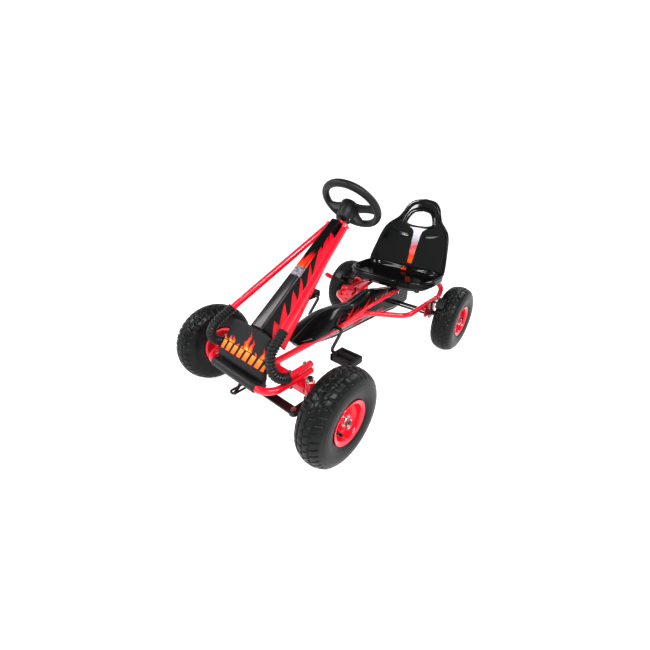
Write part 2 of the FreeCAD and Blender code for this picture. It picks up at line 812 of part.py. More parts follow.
def knuckle_nuts(side):
    half = mm("kingpin_half_gap")
    axle = size("axle_radius")
    hub_face = mm("front_track") / 2 + 24.8
    parts = [washer((half, 0, 186.2), (0, 0, 1), 12.0, 1.8, axle),
             nut((half, 0, 188.0), (0, 0, 1), 18.0, 9.0, axle),
             washer((hub_face, 0, mm("tyre_radius")), (1, 0, 0), 11.0, 1.6, axle),
             nut((hub_face + 1.6, 0, mm("tyre_radius")), (1, 0, 0), 18.0, 8.0, axle)]
    item = group(*parts)
    return item if side > 0 else mirrored(item)


def make_knuckles():
    for side, name in ((1, "left"), (-1, "right")):
        node(knuckle(side), f"knuckle_{name}")
        node(knuckle_nuts(side), f"knuckle_nuts_{name}")


def make_tie_rod():
    """A flat strip across the kart with a wire loop that the steering crank works in."""
    half, station = mm("kingpin_half_gap"), mm("arm_length")
    thickness, width = mm("arm_thickness"), mm("arm_width")
    level = TIE_TOP - thickness
    strip = box((2 * half, width, thickness), (-half, -station - width / 2, level))
    ends = [cylinder(width / 2, thickness, (x, -station, level)) for x in (-half, half)]
    holes = [cylinder(4.0, 20.0, (x, -station, level - 5.0)) for x in (-half, half)]
    wire, reach = 3.0, 9.0
    middle = level + thickness / 2
    front = pin_line(middle).y - 12.0
    loop = rod([(reach, -station - 6.0, middle), (reach, front - reach * 0.4, middle),
                (-reach, front - reach * 0.4, middle), (-reach, -station - 6.0, middle)],
               [8.0, 8.0], wire)
    node(cut(fuse(strip, *ends, loop), *holes), "tie_rod")
    parts = []
    for x in (-half, half):
        parts.append(fuse(cylinder(4.0, 18.0, (x, -station, 117.0)),
                          nut((x, -station, TIE_TOP + 0.2), (0, 0, 1), 13.0, 5.5, 1.0),
                          nut((x, -station, 115.0), (0, 0, 1), 13.0, 4.8, 1.0)))
    node(group(*parts), "tie_rod_bolts")


# ---------------------------------------------------------------- drive

def pitch_radius(teeth):
    return mm("chain_pitch") / (2.0 * math.sin(math.pi / mm(teeth)))


def toothed_wheel(name, teeth, station, level, hub_radius, bore):
    """A sprocket in the middle plane, its gaps cut one by one round the pitch circle."""
    body = new_body(name, (0, size("front_axle_y") + station, level))
    pitch = pitch_radius(teeth)
    width = size("sprocket_width")
    disc = draw_circle(sketch_on(body, "YZ_Plane"), (0, 0), pitch + 3.0)
    pad(body, disc, width)
    hub = draw_circle(sketch_on(body, "YZ_Plane"), (0, 0), hub_radius)
    pad(body, hub, 16.0)
    gap = draw_circle(sketch_on(body, "YZ_Plane"), (0, pitch), 4.2)
    notch = pocket(body, gap)
    around(body, notch, gap, int(mm(teeth)))
    centre = draw_circle(sketch_on(body, "YZ_Plane"), (0, 0), bore)
    pocket(body, centre)
    if hub_radius + 12.0 < pitch - 6.0:
        window = draw_circle(sketch_on(body, "YZ_Plane"), (0, (hub_radius + pitch) / 2.0 - 2.0), 6.0)
        opening = pocket(body, window)
        around(body, opening, window, 5)
    add_node(body, name)


def belt_face(offset):
    """The area inside a line that runs round both pitch circles at an offset."""
    crank = Vector(0, mm("crank_station"), mm("crank_level"))
    axle = Vector(0, mm("wheelbase"), mm("tyre_radius"))
    large, small = pitch_radius("ring_teeth") + offset, pitch_radius("sprocket_teeth") + offset
    line = axle - crank
    lean = math.asin((large - small) / line.Length)
    base = math.atan2(line.z, line.y)

    def rim_point(centre, radius, angle):
        return centre + Vector(0, math.cos(angle), math.sin(angle)) * radius

    high, low = base + math.pi / 2 - lean, base - math.pi / 2 + lean
    a, b = rim_point(crank, large, high), rim_point(axle, small, high)
    c, d = rim_point(axle, small, low), rim_point(crank, large, low)
    wire = Part.Wire([
        Part.makeLine(a, b),
        Part.Arc(b, rim_point(axle, small, base), c).toShape(),
        Part.makeLine(c, d),
        Part.Arc(d, rim_point(crank, large, base + math.pi), a).toShape(),
    ])
    return Part.Face(wire)


def belt(offset, half):
    face = belt_face(offset)
    face.translate(Vector(-half, 0, 0))
    return face.extrude(Vector(2 * half, 0, 0))


def make_chain():
    """One closed loop of channel section that straddles the sprocket teeth."""
    outer = belt(4.6, 3.7).cut(belt(-3.5, 5.0))
    item = DOC.addObject("Part::Feature", "Loop")
    item.Shape = outer.cut(belt(3.6, 2.5))
    node(item, "chain")


def pedal_point(side):
    """The far end of a crank arm: the left one points forwards and down."""
    reach = mm("crank_length") * math.sqrt(0.5) * side
    return mm("crank_station") - reach, mm("crank_level") - reach


def make_crank():
    station, level, half = mm("crank_station"), mm("crank_level"), mm("crank_half_width")
    corners = []
    for side in (1, -1):
        y, z = pedal_point(side)
        ends = [(side * (half + 94.0), y, z), (side * half, y, z), (side * half, station, level)]
        corners += ends if side > 0 else list(reversed(ends))
    inner = rod(corners, [12.0] * 4, size("spindle_radius"))
    shaft = cylinder(size("axle_radius"), 2 * half - 28.0, (-half + 14.0, station, level), (1, 0, 0))
    node(fuse(inner, shaft), "crank")
    toothed_wheel("chainring", "ring_teeth", size("crank_station"), size("crank_level"), 12.0,
                  size("axle_radius"))


def make_pedal(side, name):
    y, z = pedal_point(side)
    half = mm("crank_half_width")
    width, length, height = size("pedal_width"), size("pedal_length"), size("pedal_height")
    middle = side * (half + 20.0 + number(width) / 2)
    body = new_body(name, (middle, number(KART[1]) + y, z))
    slab = draw_outline(sketch_on(body, "YZ_Plane"), [
        (-length / 2, -height / 2), (length / 2, -height / 2),
        (length / 2, height / 2), (-length / 2, height / 2),
    ])
    base = pad(body, slab, width)
    round_edges(body, base, 9.0, lambda e: e.BoundBox.XLength > 1.0)
    for start in (-21.0, 9.0):
        window = draw_outline(sketch_on(body, "XY_Plane"), [
            (-28.0, start), (28.0, start), (28.0, start + 12.0), (-28.0, start + 12.0),
        ])
        pocket(body, window)
    bore = draw_circle(sketch_on(body, "YZ_Plane"), (0, 0),
                       size("spindle_radius") + size("running_gap"))
    pocket(body, bore)
    add_node(body, name)


def guard_top():
    """Top line of the guard from the nose to the tail, in station and level."""
    return [(100.0, 196.0), (144.0, 214.0), (181.0, 236.0), (255.0, 251.0, (216.0, 247.0)),
            (397.0, 226.0, (330.0, 242.0)), (428.0, 228.0), (443.0, 252.0), (476.0, 257.0),
            (552.0, 239.0), (601.0, 229.0), (690.0, 212.0), (740.0, 205.0),
            (812.0, 150.0, (796.0, 188.0)), (780.0, 100.0, (804.0, 119.0)), (740.0, 95.0),
            (607.0, 108.0), (305.0, 122.0), (151.0, 150.0), (108.0, 172.0)]


def guard_slab(inset, half):
    """The guard's outline moved inwards and given a half width."""
    edges = []
    points = guard_top()
    for index, point in enumerate(points):
        start = Vector(0, points[index - 1][0], points[index - 1][1])
        end = Vector(0, point[0], point[1])
        if len(point) == 3:
            edges.append(Part.Arc(start, Vector(0, *point[2]), end).toShape())
        else:
            edges.append(Part.makeLine(start, end))
    face = Part.Face(Part.Wire(edges))
    if inset:
        face = Part.Face(face.makeOffset2D(-inset, 2).OuterWire)
    return face.extrude(Vector(half, 0, 0))


def flare(inset):
    """The part of the nose that spreads over the rail."""
    foot = 194.5 + inset
    near = [(26.0, 108.0, foot), (44.0 - inset, 108.0, foot), (26.0, 108.0, 200.0 - inset)]
    wide = [(26.0, 150.0, foot), (54.0 - inset, 150.0, foot), (26.0, 150.0, 212.0 - inset)]
    far = [(26.0, 232.0, foot), (54.0 - inset, 232.0, foot), (26.0, 232.0, 244.0 - inset)]
    sections = [Part.makePolygon([Vector(*p) for p in s + s[:1]]) for s in (near, wide, far)]
    return Part.makeLoft(sections, True, True)


def guard_half(side):
    half, wall = mm("guard_half_width"), mm("guard_wall")
    outer = guard_slab(0.0, half - 5.0).fuse(guard_slab(4.0, half))
    inner = guard_slab(wall, half - 5.0 - wall).fuse(guard_slab(4.0 + wall, half - wall))
    shell = outer.fuse(flare(0.0)).cut(inner).cut(flare(wall))
    item = DOC.addObject("Part::Feature", "Shell")
    item.Shape = shell
    station, level = size("crank_station"), size("crank_level")
    tools = [cylinder(9.0, 80.0, (0, station, level), (1, 0, 0)),
             cylinder(9.0, 80.0, (0, size("wheelbase"), size("tyre_radius")), (1, 0, 0)),
             cylinder(7.0, 80.0, (0, size("brake_station"), size("brake_level")), (1, 0, 0)),
             cylinder(17.0, 60.0, (29.0, station, level), (1, 0, 0))]
    for y, z in GUARD_SCREWS:
        tools.append(cylinder(2.0, 80.0, (0, y, z), (1, 0, 0)))
    item = cut(item, *tools)
    return item if side > 0 else mirrored(item)


GUARD_SCREWS = ((150.0, 163.0), (350.0, 207.0), (520.0, 215.0), (700.0, 190.0))


def make_guard():
    node(guard_half(1), "guard_left")
    node(guard_half(-1), "guard_right")
    half = mm("guard_half_width")
    parts = []
    for y, z in GUARD_SCREWS:
        shank = cylinder(1.95, 2 * half, (-half, y, z), (1, 0, 0))
        heads = [cylinder(4.5, 2.0, (x, y, z), (1, 0, 0)) for x in (half, -half - 2.0)]
        parts.append(fuse(shank, *heads))
    node(group(*parts), "guard_screws")


def make_rear_axle():
    station, level = size("wheelbase"), size("tyre_radius")
    half = mm("rear_track") / 2 + 36.0
    node(cylinder(size("axle_radius"), 2 * half, (-half, station, level), (1, 0, 0)), "rear_axle")
    toothed_wheel("rear_sprocket", "sprocket_teeth", station, level, 11.0, size("axle_radius"))
    inner = mm("hoop_half_width") + 5.2
    length = mm("rear_track") / 2 - 30.7 - inner
    spacer = washer((inner, station, level), (1, 0, 0), 10.0, length, size("axle_radius"))
    node(group(spacer, mirrored(spacer)), "axle_spacers")
    face = mm("rear_track") / 2 + 24.8
    outer = [washer((face, station, level), (1, 0, 0), 11.0, 1.6, size("axle_radius")),
             nut((face + 1.6, station, level), (1, 0, 0), 18.0, 8.0, size("axle_radius"))]
    node(group(*outer, *[mirrored(o) for o in outer]), "wheel_nuts_rear")


# ---------------------------------------------------------------- brake

def pad_direction():
    return Vector(0, -106.0, 91.0).normalize()


def make_brake():
    y, z = mm("brake_station"), mm("brake_level")
    axle = Vector(0, mm("wheelbase"), mm("tyre_radius"))
    back = axle + pad_direction() * (mm("tyre_radius") + mm("pad_gap") + 8.0)
    half = mm("rear_track") / 2
    left = [(half - 6.0, back.y, back.z), (208.0, back.y + 8.0, back.z - 4.0),
            (190.0, y - 16.0, z + 62.0), (190.0, y, z)]
    corners = left + [(-px, py, pz) for px, py, pz in reversed(left)]
    bends = [12.0, 12.0, 12.0]
    node(rod(corners, bends + bends, size("brake_rod_radius")), "brake_rod")
    make_brake_pads(axle)
    foot, head = Vector(-196.5, y - 10.0, z + 22.0), Vector(-196.5, 500.0, 262.0)
    lever = bar(16.0, 5.0, tuple(foot), tuple(head), 4.0)
    arm = rod(corners, bends + bends, size("brake_rod_radius"))
    grip = cylinder(9.5, 40.0, (-196.5, 522.0, 249.8), tuple((head - foot).normalize()))
    node(cut(lever, arm), "brake_lever")
    node(cut(grip, lever), "brake_grip")


def make_brake_pads(axle):
    """Curved blocks in front of and above the rear tyres."""
    near = mm("tyre_radius") + mm("pad_gap")
    far = near + mm("pad_depth")
    width, half = mm("pad_width"), mm("rear_track") / 2
    middle = math.atan2(pad_direction().z, pad_direction().y)
    spread = math.radians(8.0)

    def at(radius, angle):
        return axle + Vector(0, math.cos(angle), math.sin(angle)) * radius

    low, high = middle - spread, middle + spread
    wire = Part.Wire([
        Part.Arc(at(near, low), at(near, middle), at(near, high)).toShape(),
        Part.makeLine(at(near, high), at(far, high)),
        Part.Arc(at(far, high), at(far, middle), at(far, low)).toShape(),
        Part.makeLine(at(far, low), at(near, low)),
    ])
    face = Part.Face(wire)
    face.translate(Vector(half - width - 4.0, 0, 0))
    item = DOC.addObject("Part::Feature", "Pad")
    item.Shape = face.extrude(Vector(width, 0, 0))
    back = axle + pad_direction() * (near + 8.0)
    block = cut(item, rod([(half - 6.0, back.y, back.z), (208.0, back.y + 8.0, back.z - 4.0)],
                          [], size("brake_rod_radius")))
    node(group(block, mirrored(block)), "brake_pads")


# ---------------------------------------------------------------- seat

def make_pan():
    body = new_body("Pan", (0, 0, size("seat_base_level")))
    half, front, rear = size("pan_half_width"), size("pan_front"), size("pan_rear")
    outline = draw_outline(sketch_on(body, "XY_Plane"), [
        (half - 6.0, rear), (half, 726.0), (half - 12.0, 640.0),
        (110.0, front + 8.0, (number(half) - 38.0, 602.0)),
        (-110.0, front + 8.0, (0.0, number(front))),
        (-half + 12.0, 640.0, (38.0 - number(half), 602.0)),
        (-half, 726.0), (-half + 6.0, rear),
    ])
    base = pad(body, outline, size("pan_height"), middle=False)
    inset = 26.0
    dish = draw_outline(sketch_on(body, "XY_Plane", size("pan_height")), [
        (half - inset, 786.0), (half - inset, 700.0), (half - inset - 14.0, 650.0),
        (96.0, front + inset + 14.0, (number(half) - 58.0, 622.0)),
        (-96.0, front + inset + 14.0, (0.0, number(front) + inset + 4.0)),
        (-half + inset + 14.0, 650.0, (58.0 - number(half), 622.0)),
        (-half + inset, 700.0), (-half + inset, 786.0),
    ])
    pocket(body, dish, 26.0)
    return body


def back_outline():
    """Half of the back's outline: half width against the distance up the lean."""
    return [(176.0, 0.0), (178.0, 40.0), (165.0, 112.0), (144.0, 184.0, (156.0, 150.0)),
            (104.0, 226.0, (128.0, 208.0)), (76.0, 272.0, (88.0, 246.0)),
            (46.0, 311.0, (66.0, 300.0))]


def outline_edges(points):
    """Edges of a closed outline in the XZ plane, with (x, z) or (x, z, via) points."""
    edges = []
    for index, point in enumerate(points):
        start = Vector(points[index - 1][0], 0, points[index - 1][1])
        end = Vector(point[0], 0, point[1])
        if len(point) == 3:
            via = Vector(point[2][0], 0, point[2][1])
            edges.append(Part.Arc(start, via, end).toShape())
        else:
            edges.append(Part.makeLine(start, end))
    return edges


def both_halves(half, crown):
    """The half outline, its crown, and the same half mirrored back down to the start."""
    points = half + [(-half[-1][0], half[-1][1], (0.0, crown))]
    for index in range(len(half) - 1, 0, -1):
        end = half[index - 1]
        via = half[index][2] if len(half[index]) == 3 else None
        points.append((-end[0], end[1], (-via[0], via[1])) if via else (-end[0], end[1]))
    return points


HANDLE_HOLE = [(58.0, 214.0, (0.0, 206.0)), (30.0, 262.0, (46.0, 248.0)),
               (-30.0, 262.0, (0.0, 268.0)), (-58.0, 214.0, (-46.0, 248.0))]


def make_back():
    """A sheet cut from a bowl and leaned back, with the handle hole through it."""
    lean = mm("back_lean")
    at = Vector(0, mm("pan_rear") - 2.0, mm("seat_base_level"))
    height = (mm("seat_top_level") - mm("seat_base_level")) / math.cos(math.radians(lean))
    radius, wall = mm("back_curve_radius"), mm("back_thickness")
    bowl = Part.makeCylinder(radius + wall, height, Vector(0, -radius, 0))
    bowl = bowl.cut(Part.makeCylinder(radius, height + 2, Vector(0, -radius, -1)))

    def slab(points):
        face = Part.Face(Part.Wire(outline_edges(points)))
        face.translate(Vector(0, -120, 0))
        return face.extrude(Vector(0, 200, 0))

    item = DOC.addObject("Part::Feature", "Back")
    sheet = bowl.common(slab(both_halves(back_outline(), height)))
    item.Shape = sheet.cut(slab(HANDLE_HOLE))
    item.Placement = Placement(at, Rotation(Vector(1, 0, 0), -lean))
    return item


def make_seat():
    base = size("seat_base_level")
    shell = fuse(make_pan(), make_back())
    holes = [cylinder(3.0, 12.0, (x, y, base - 6.0)) for x in (-130.0, 130.0)
             for y in (686.0, 706.0)]
    below = box((400.0, 280.0, 30.0), (-200.0, 560.0, base - 30.0))
    node(cut(shell, *holes, below), "seat")


# ---------------------------------------------------------------- build and write

def build():
    make_wheels()
    make_main_frame()
    make_front_axle_beam()
    make_bumper()
    handed(upper_tube, "upper_frame_tube")
    handed(corrugated_sleeve, "corrugated_sleeve")
    make_clamp_bolts()
    make_hangers()
    make_crank_hangers()
    make_seat_support()
    make_lever_guide()
    make_steering_head()
    make_front_panel()
    make_column_cover()
    make_steering()
    make_knuckles()
    make_tie_rod()
    make_chain()
    make_crank()
    make_pedal(1, "pedal_left")
    make_pedal(-1, "pedal_right")
    make_guard()
    make_rear_axle()
    make_brake()
    make_seat()


def write():
    DOC.recompute()
    faults = [f"{o.Label}: {o.State}" for o in DOC.Objects
              if "Invalid" in o.State or "Error" in o.State]
    for item in NODES:
        shape = item.Shape
        if shape.isNull() or not shape.isValid() or not shape.Solids:
            faults.append(f"{item.Label}: bad shape")
    if faults:
        raise RuntimeError("; ".join(faults))
    os.makedirs("parts", exist_ok=True)
    for item in NODES:
        item.Shape.exportStep(f"parts/{item.Label}.step")
        print(f"{item.Label}: {len(item.Shape.Solids)} solids, {item.Shape.Volume / 1000:.1f} cm3")
    print(f"{len(NODES)} nodes")


build()
write()
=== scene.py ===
"""A pedal go kart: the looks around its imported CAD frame. Metres, in the frame's own axes."""

import json
import math
import random

import bmesh
import bpy
from mathutils import Matrix, Vector, noise
from mathutils.bvhtree import BVHTree


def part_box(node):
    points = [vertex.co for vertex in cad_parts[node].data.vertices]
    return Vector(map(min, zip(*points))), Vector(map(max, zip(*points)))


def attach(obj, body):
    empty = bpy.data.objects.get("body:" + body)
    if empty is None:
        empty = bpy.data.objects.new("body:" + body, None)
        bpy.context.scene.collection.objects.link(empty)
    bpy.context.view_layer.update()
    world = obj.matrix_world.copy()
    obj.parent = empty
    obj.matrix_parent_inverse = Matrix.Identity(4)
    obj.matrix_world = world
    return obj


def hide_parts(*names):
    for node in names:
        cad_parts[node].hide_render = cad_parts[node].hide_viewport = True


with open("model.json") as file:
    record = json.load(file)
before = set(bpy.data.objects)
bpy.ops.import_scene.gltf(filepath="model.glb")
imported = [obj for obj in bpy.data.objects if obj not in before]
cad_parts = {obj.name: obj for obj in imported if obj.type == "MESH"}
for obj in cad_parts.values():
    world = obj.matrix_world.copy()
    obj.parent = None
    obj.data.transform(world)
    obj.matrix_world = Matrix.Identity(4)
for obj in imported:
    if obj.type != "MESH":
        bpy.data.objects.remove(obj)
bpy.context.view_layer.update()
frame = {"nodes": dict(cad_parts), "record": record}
NODES = frame["nodes"]
MM = 0.001


def middle(node):
    low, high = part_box(node)
    return (low + high) / 2


def half_size(node):
    low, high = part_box(node)
    return (high - low) / 2


FRONT_Y = middle("tyre_front_left").y


def at(x, station, level):
    """A point from its offset to the driver's left, its station behind the front axle and its level."""
    return Vector((x * MM, FRONT_Y + station * MM, level * MM))


def smooth(edge0, edge1, value):
    t = min(max((value - edge0) / (edge1 - edge0), 0.0), 1.0)
    return t * t * (3 - 2 * t)


def lerp(a, b, t):
    return a + (b - a) * t


def circle(steps):
    """Cosine and sine at equal steps round a whole turn."""
    angles = [2 * math.pi * step / steps for step in range(steps)]
    return [(math.cos(angle), math.sin(angle)) for angle in angles]


# ---------------------------------------------------------------- camera, light and floor

CAMERA_AT = at(627.64, -481.56, 688.36)
CAMERA_AZIMUTH, CAMERA_ELEVATION, CAMERA_ROLL = 0.704547, 0.475078, 0.0233767
LENS, SENSOR = 17.834, 36.0


def make_camera():
    az, el, roll = CAMERA_AZIMUTH, CAMERA_ELEVATION, CAMERA_ROLL
    back = Vector((math.sin(az) * math.cos(el), -math.cos(az) * math.cos(el), math.sin(el)))
    right = Vector((0, 0, 1)).cross(back).normalized()
    up = back.cross(right)
    turned_right = right * math.cos(roll) + up * math.sin(roll)
    turned_up = up * math.cos(roll) - right * math.sin(roll)
    lens = bpy.data.cameras.new("camera")
    lens.lens = LENS
    lens.sensor_width = SENSOR
    lens.clip_start = 0.01
    camera = bpy.data.objects.new("camera", lens)
    axes = Matrix((turned_right, turned_up, back)).transposed()
    camera.matrix_world = Matrix.Translation(CAMERA_AT) @ axes.to_4x4()
    bpy.context.scene.collection.objects.link(camera)
    bpy.context.scene.camera = camera


# Each light's name, place from the target, size and power.
LIGHTS = (("key", (1.3, -1.2, 2.3), (1.2, 0.8), 40.0),
          ("window", (-1.9, -1.3, 1.9), (0.6, 1.2), 26.0),
          ("glint_left", (1.5, -0.5, 1.5), (0.30, 0.42), 15.0),
          ("glint_right", (-0.7, -1.9, 1.5), (0.42, 0.30), 15.0),
          ("rear", (0.6, 2.2, 1.7), (1.5, 0.6), 24.0))


def area_light(name, place, target, size, watts):
    data = bpy.data.lights.new(name, "AREA")
    data.shape = "RECTANGLE"
    data.size, data.size_y = size
    data.energy = watts
    lamp = bpy.data.objects.new(name, data)
    lamp.location = place
    lamp.rotation_euler = (place - target).to_track_quat("Z", "Y").to_euler()
    bpy.context.scene.collection.objects.link(lamp)


WORLD_FADE = ((0.30, 1.1, 1.1), (0.62, 0.22, 0.225))


def make_world():
    """White round the horizon and grey overhead, so that tops stay dark and glossy."""
    world = bpy.data.worlds.new("studio")
    bpy.context.scene.world = world
    world.use_nodes = True
    tree = world.node_tree
    background = tree.nodes["Background"]
    place = tree.nodes.new("ShaderNodeTexCoord")
    split = tree.nodes.new("ShaderNodeSeparateXYZ")
    fade = tree.nodes.new("ShaderNodeValToRGB")
    tree.links.new(place.outputs["Generated"], split.inputs[0])
    tree.links.new(split.outputs["Z"], fade.inputs["Fac"])
    tree.links.new(fade.outputs["Color"], background.inputs["Color"])
    for point, (position, grey, blue) in zip(fade.color_ramp.elements, WORLD_FADE):
        point.position = position
        point.color = (grey, grey, blue, 1.0)


def make_stage():
    """Five soft lights and a pale floor that glows, so that it stays white out to the horizon."""
    target = at(0, 370, 250)
    for name, offset, size, watts in LIGHTS:
        area_light(name, target + Vector(offset), target, size, watts)
    mesh = bpy.data.meshes.new("floor")
    reach = 12.0
    corners = [(-reach, -reach, 0), (reach, -reach, 0), (reach, reach, 0), (-reach, reach, 0)]
    mesh.from_pydata(corners, [], [(0, 1, 2, 3)])
    floor = bpy.data.objects.new("floor", mesh)
    bpy.context.scene.collection.objects.link(floor)
    look = Look("floor_pale")
    speckle = look.noise(6.0, detail=3.0)
    look.colour(look.mix(speckle, (0.48, 0.48, 0.48), (0.50, 0.50, 0.50)))
    look.set("Roughness", 0.9)
    look.set("Emission Color", (1.0, 1.0, 1.0))
    look.set("Emission Strength", 0.90)
    mesh.materials.append(look.material)


# ---------------------------------------------------------------- materials

class Look:
    """One procedural material, built node by node."""

    def __init__(self, name):
        self.material = bpy.data.materials.new(name)
        self.material.use_nodes = True
        self.tree = self.material.node_tree
        self.shader = self.tree.nodes["Principled BSDF"]
        self.place = self.tree.nodes.new("ShaderNodeTexCoord").outputs["Object"]

    def feed(self, socket, value):
        if isinstance(value, bpy.types.NodeSocket):
            self.tree.links.new(value, socket)
        elif isinstance(value, tuple) and len(value) == 3 and socket.type == "RGBA":
            socket.default_value = (*value, 1.0)
        else:
            socket.default_value = value

    def node(self, kind, inputs=(), **settings):
        made = self.tree.nodes.new(kind)
        for name, value in settings.items():
            setattr(made, name, value)
        for key, value in dict(inputs).items():
            self.feed(made.inputs[key], value)
        return made

    def set(self, name, value):
        self.feed(self.shader.inputs[name], value)

    def colour(self, value):
        self.set("Base Color", value)

    def math(self, operation, a, b=0.0, c=0.0):
        return self.node("ShaderNodeMath", {0: a, 1: b, 2: c}, operation=operation).outputs[0]

    def plus(self, a, b):
        return self.math("ADD", a, b)

    def minus(self, a, b):
        return self.math("SUBTRACT", a, b)

    def times(self, a, b):
        return self.math("MULTIPLY", a, b)

    def scaled(self, value, factor, offset):
        return self.math("MULTIPLY_ADD", value, factor, offset)

    def size(self, value):
        """The value without its sign."""
        return self.math("ABSOLUTE", value)

    def band(self, value, rise, fall):
        """1 between two edges, each given as the pair of values where it starts and ends."""
        return self.times(self.step(value, *rise), self.step(value, *fall))

    def mix(self, factor, a, b):
        made = self.node("ShaderNodeMix", {"Factor": factor}, data_type="RGBA")
        self.feed(made.inputs[6], a)
        self.feed(made.inputs[7], b)
        return made.outputs[2]

    def step(self, value, low, high):
        """0 below low, 1 above high, straight between."""
        made = self.node("ShaderNodeMapRange", {"Value": value, "From Min": low, "From Max": high})
        return made.outputs["Result"]

    def ramp(self, factor, stops):
        made = self.node("ShaderNodeValToRGB", {"Fac": factor})
        points = made.color_ramp.elements
        while len(points) < len(stops):
            points.new(0.5)
        for point, (position, tint) in zip(points, stops):
            point.position = position
            point.color = (*tint, 1.0)
        return made.outputs["Color"]

    def noise(self, scale, detail=2.0, roughness=0.5):
        made = self.node("ShaderNodeTexNoise", {"Vector": self.place, "Scale": scale, "Detail": detail,
                                                "Roughness": roughness})
        return made.outputs["Fac"]

    def voronoi(self, scale):
        made = self.node("ShaderNodeTexVoronoi", {"Vector": self.place, "Scale": scale})
        return made.outputs["Distance"]

    def axes(self):
        split = self.node("ShaderNodeSeparateXYZ", {0: self.place})
        return split.outputs[0], split.outputs[1], split.outputs[2]

    def along(self, origin, direction):
        """Distance from a point along a direction, in metres."""
        moved = self.node("ShaderNodeVectorMath", {0: self.place, 1: tuple(origin)},
                          operation="SUBTRACT").outputs[0]
        made = self.node("ShaderNodeVectorMath", {0: moved, 1: tuple(direction)},
                         operation="DOT_PRODUCT")
        return made.outputs["Value"]

    def bump(self, height, strength, distance):
        made = self.node("ShaderNodeBump", {"Height": height, "Strength": strength,
                                            "Distance": distance})
        previous = self.shader.inputs["Normal"]
        if previous.is_linked:
            self.tree.links.new(previous.links[0].from_socket, made.inputs["Normal"])
        self.tree.links.new(made.outputs[0], previous)


FLAME_YELLOW = (1.0, 0.52, 0.05)
FLAME_ORANGE = (0.95, 0.16, 0.015)
FLAME_RED = (0.62, 0.008, 0.012)
RED = (0.84, 0.012, 0.045)


def flame_row(seed, start, end, count, half, height, lean):
    """Tongues spread along a base line: centre, half width, height, lean and phase."""
    chance = random.Random(seed)
    row = []
    for index in range(count):
        centre = lerp(start, end, (index + chance.uniform(0.25, 0.75)) / count)
        row.append((centre, half * chance.uniform(0.75, 1.3), height * chance.uniform(0.5, 1.1),
                    lean + chance.uniform(-0.12, 0.12), chance.uniform(0.0, 6.3)))
    return row


def flame_depth(look, u, v, row, sway=0.003, turns=95.0):
    """How far inside the nearest tongue a point is, in metres. Negative is outside."""
    best = None
    for centre, half, height, lean, phase in row:
        swing = look.math("SINE", look.scaled(v, turns, phase))
        middle_line = look.scaled(v, lean, centre)
        middle_line = look.scaled(swing, sway, middle_line)
        offset = look.size(look.minus(u, middle_line))
        rise = look.step(v, 0.0, height)
        width = look.times(look.math("POWER", look.minus(1.0, rise), 0.85), half)
        inside = look.minus(look.minus(width, 0.0009), offset)
        best = inside if best is None else look.math("MAXIMUM", best, inside)
    return best


def paint(name, base, roughness=0.16, coat=0.6):
    """Sprayed and baked paint: orange peel, a little dust and softer gloss in patches."""
    look = Look(name)
    patches = look.noise(9.0, detail=3.0)
    darker = tuple(c * 0.88 for c in base)
    look.colour(look.mix(look.step(patches, 0.35, 0.75), base, darker))
    fine = look.noise(520.0, detail=1.0)
    smudge = look.step(look.noise(34.0, detail=4.0, roughness=0.65), 0.42, 0.72)
    look.set("Roughness", look.scaled(smudge, 0.10, roughness))
    look.set("Coat Weight", coat)
    look.set("Coat Roughness", 0.07)
    look.bump(fine, 0.10, 0.0004)
    return look.material


def steel(name, base, roughness):
    look = Look(name)
    grain = look.noise(240.0, detail=3.0, roughness=0.7)
    dull = tuple(c * 0.62 for c in base)
    look.colour(look.mix(look.step(look.noise(60.0, detail=4.0), 0.4, 0.75), base, dull))
    look.set("Metallic", 1.0)
    look.set("Roughness", look.scaled(grain, 0.22, roughness))
    look.bump(grain, 0.15, 0.0003)
    return look.material


def gloss_plastic(name, art, roughness=0.09):
    """Black moulded plastic with a wet shine, faint flow marks, small scuffs and its printed art."""
    look = Look(name)
    base = (0.0045, 0.0048, 0.0052)
    body = look.mix(look.noise(14.0, detail=3.0), base, tuple(c * 1.9 for c in base))
    look.colour(art(look, body))
    scuff = look.step(look.noise(90.0, detail=5.0, roughness=0.75), 0.55, 0.85)
    look.set("Roughness", look.scaled(scuff, 0.22, roughness))
    look.set("Specular IOR Level", 0.30)
    look.bump(look.noise(22.0, detail=1.0), 0.10, 0.0015)
    look.bump(look.noise(700.0, detail=1.0), 0.04, 0.0003)
    return look.material


def matte_plastic(name, base=(0.010, 0.0105, 0.011), roughness=0.42, art=None):
    """Moulded plastic with a fine spark-eroded grain."""
    look = Look(name)
    body = look.mix(look.noise(18.0, detail=4.0), base, tuple(c * 1.8 for c in base))
    look.colour(art(look, body) if art else body)
    grain = look.voronoi(900.0)
    look.set("Roughness", look.scaled(look.noise(40.0, detail=4.0), 0.16, roughness))
    look.set("Specular IOR Level", 0.38)
    look.bump(grain, 0.35, 0.0003)
    return look.material


def tyre_rubber():
    look = Look("tyre_rubber")
    dust = look.step(look.noise(26.0, detail=6.0, roughness=0.7), 0.40, 0.80)
    look.colour(look.mix(dust, (0.0045, 0.0050, 0.0054), (0.017, 0.018, 0.018)))
    look.set("Roughness", look.scaled(dust, 0.16, 0.30))
    look.set("Specular IOR Level", 0.36)
    look.bump(look.noise(420.0, detail=4.0, roughness=0.7), 0.28, 0.0005)
    look.bump(look.noise(60.0, detail=2.0), 0.12, 0.0012)
    return look.material


def rubber(name, base, roughness):
    look = Look(name)
    cloud = look.noise(30.0, detail=5.0, roughness=0.65)
    look.colour(look.mix(cloud, base, tuple(min(c * 2.2, 1.0) for c in base)))
    look.set("Roughness", look.scaled(cloud, 0.22, roughness))
    look.bump(look.noise(500.0, detail=3.0), 0.20, 0.0004)
    return look.material


# ---------------------------------------------------------------- meshes

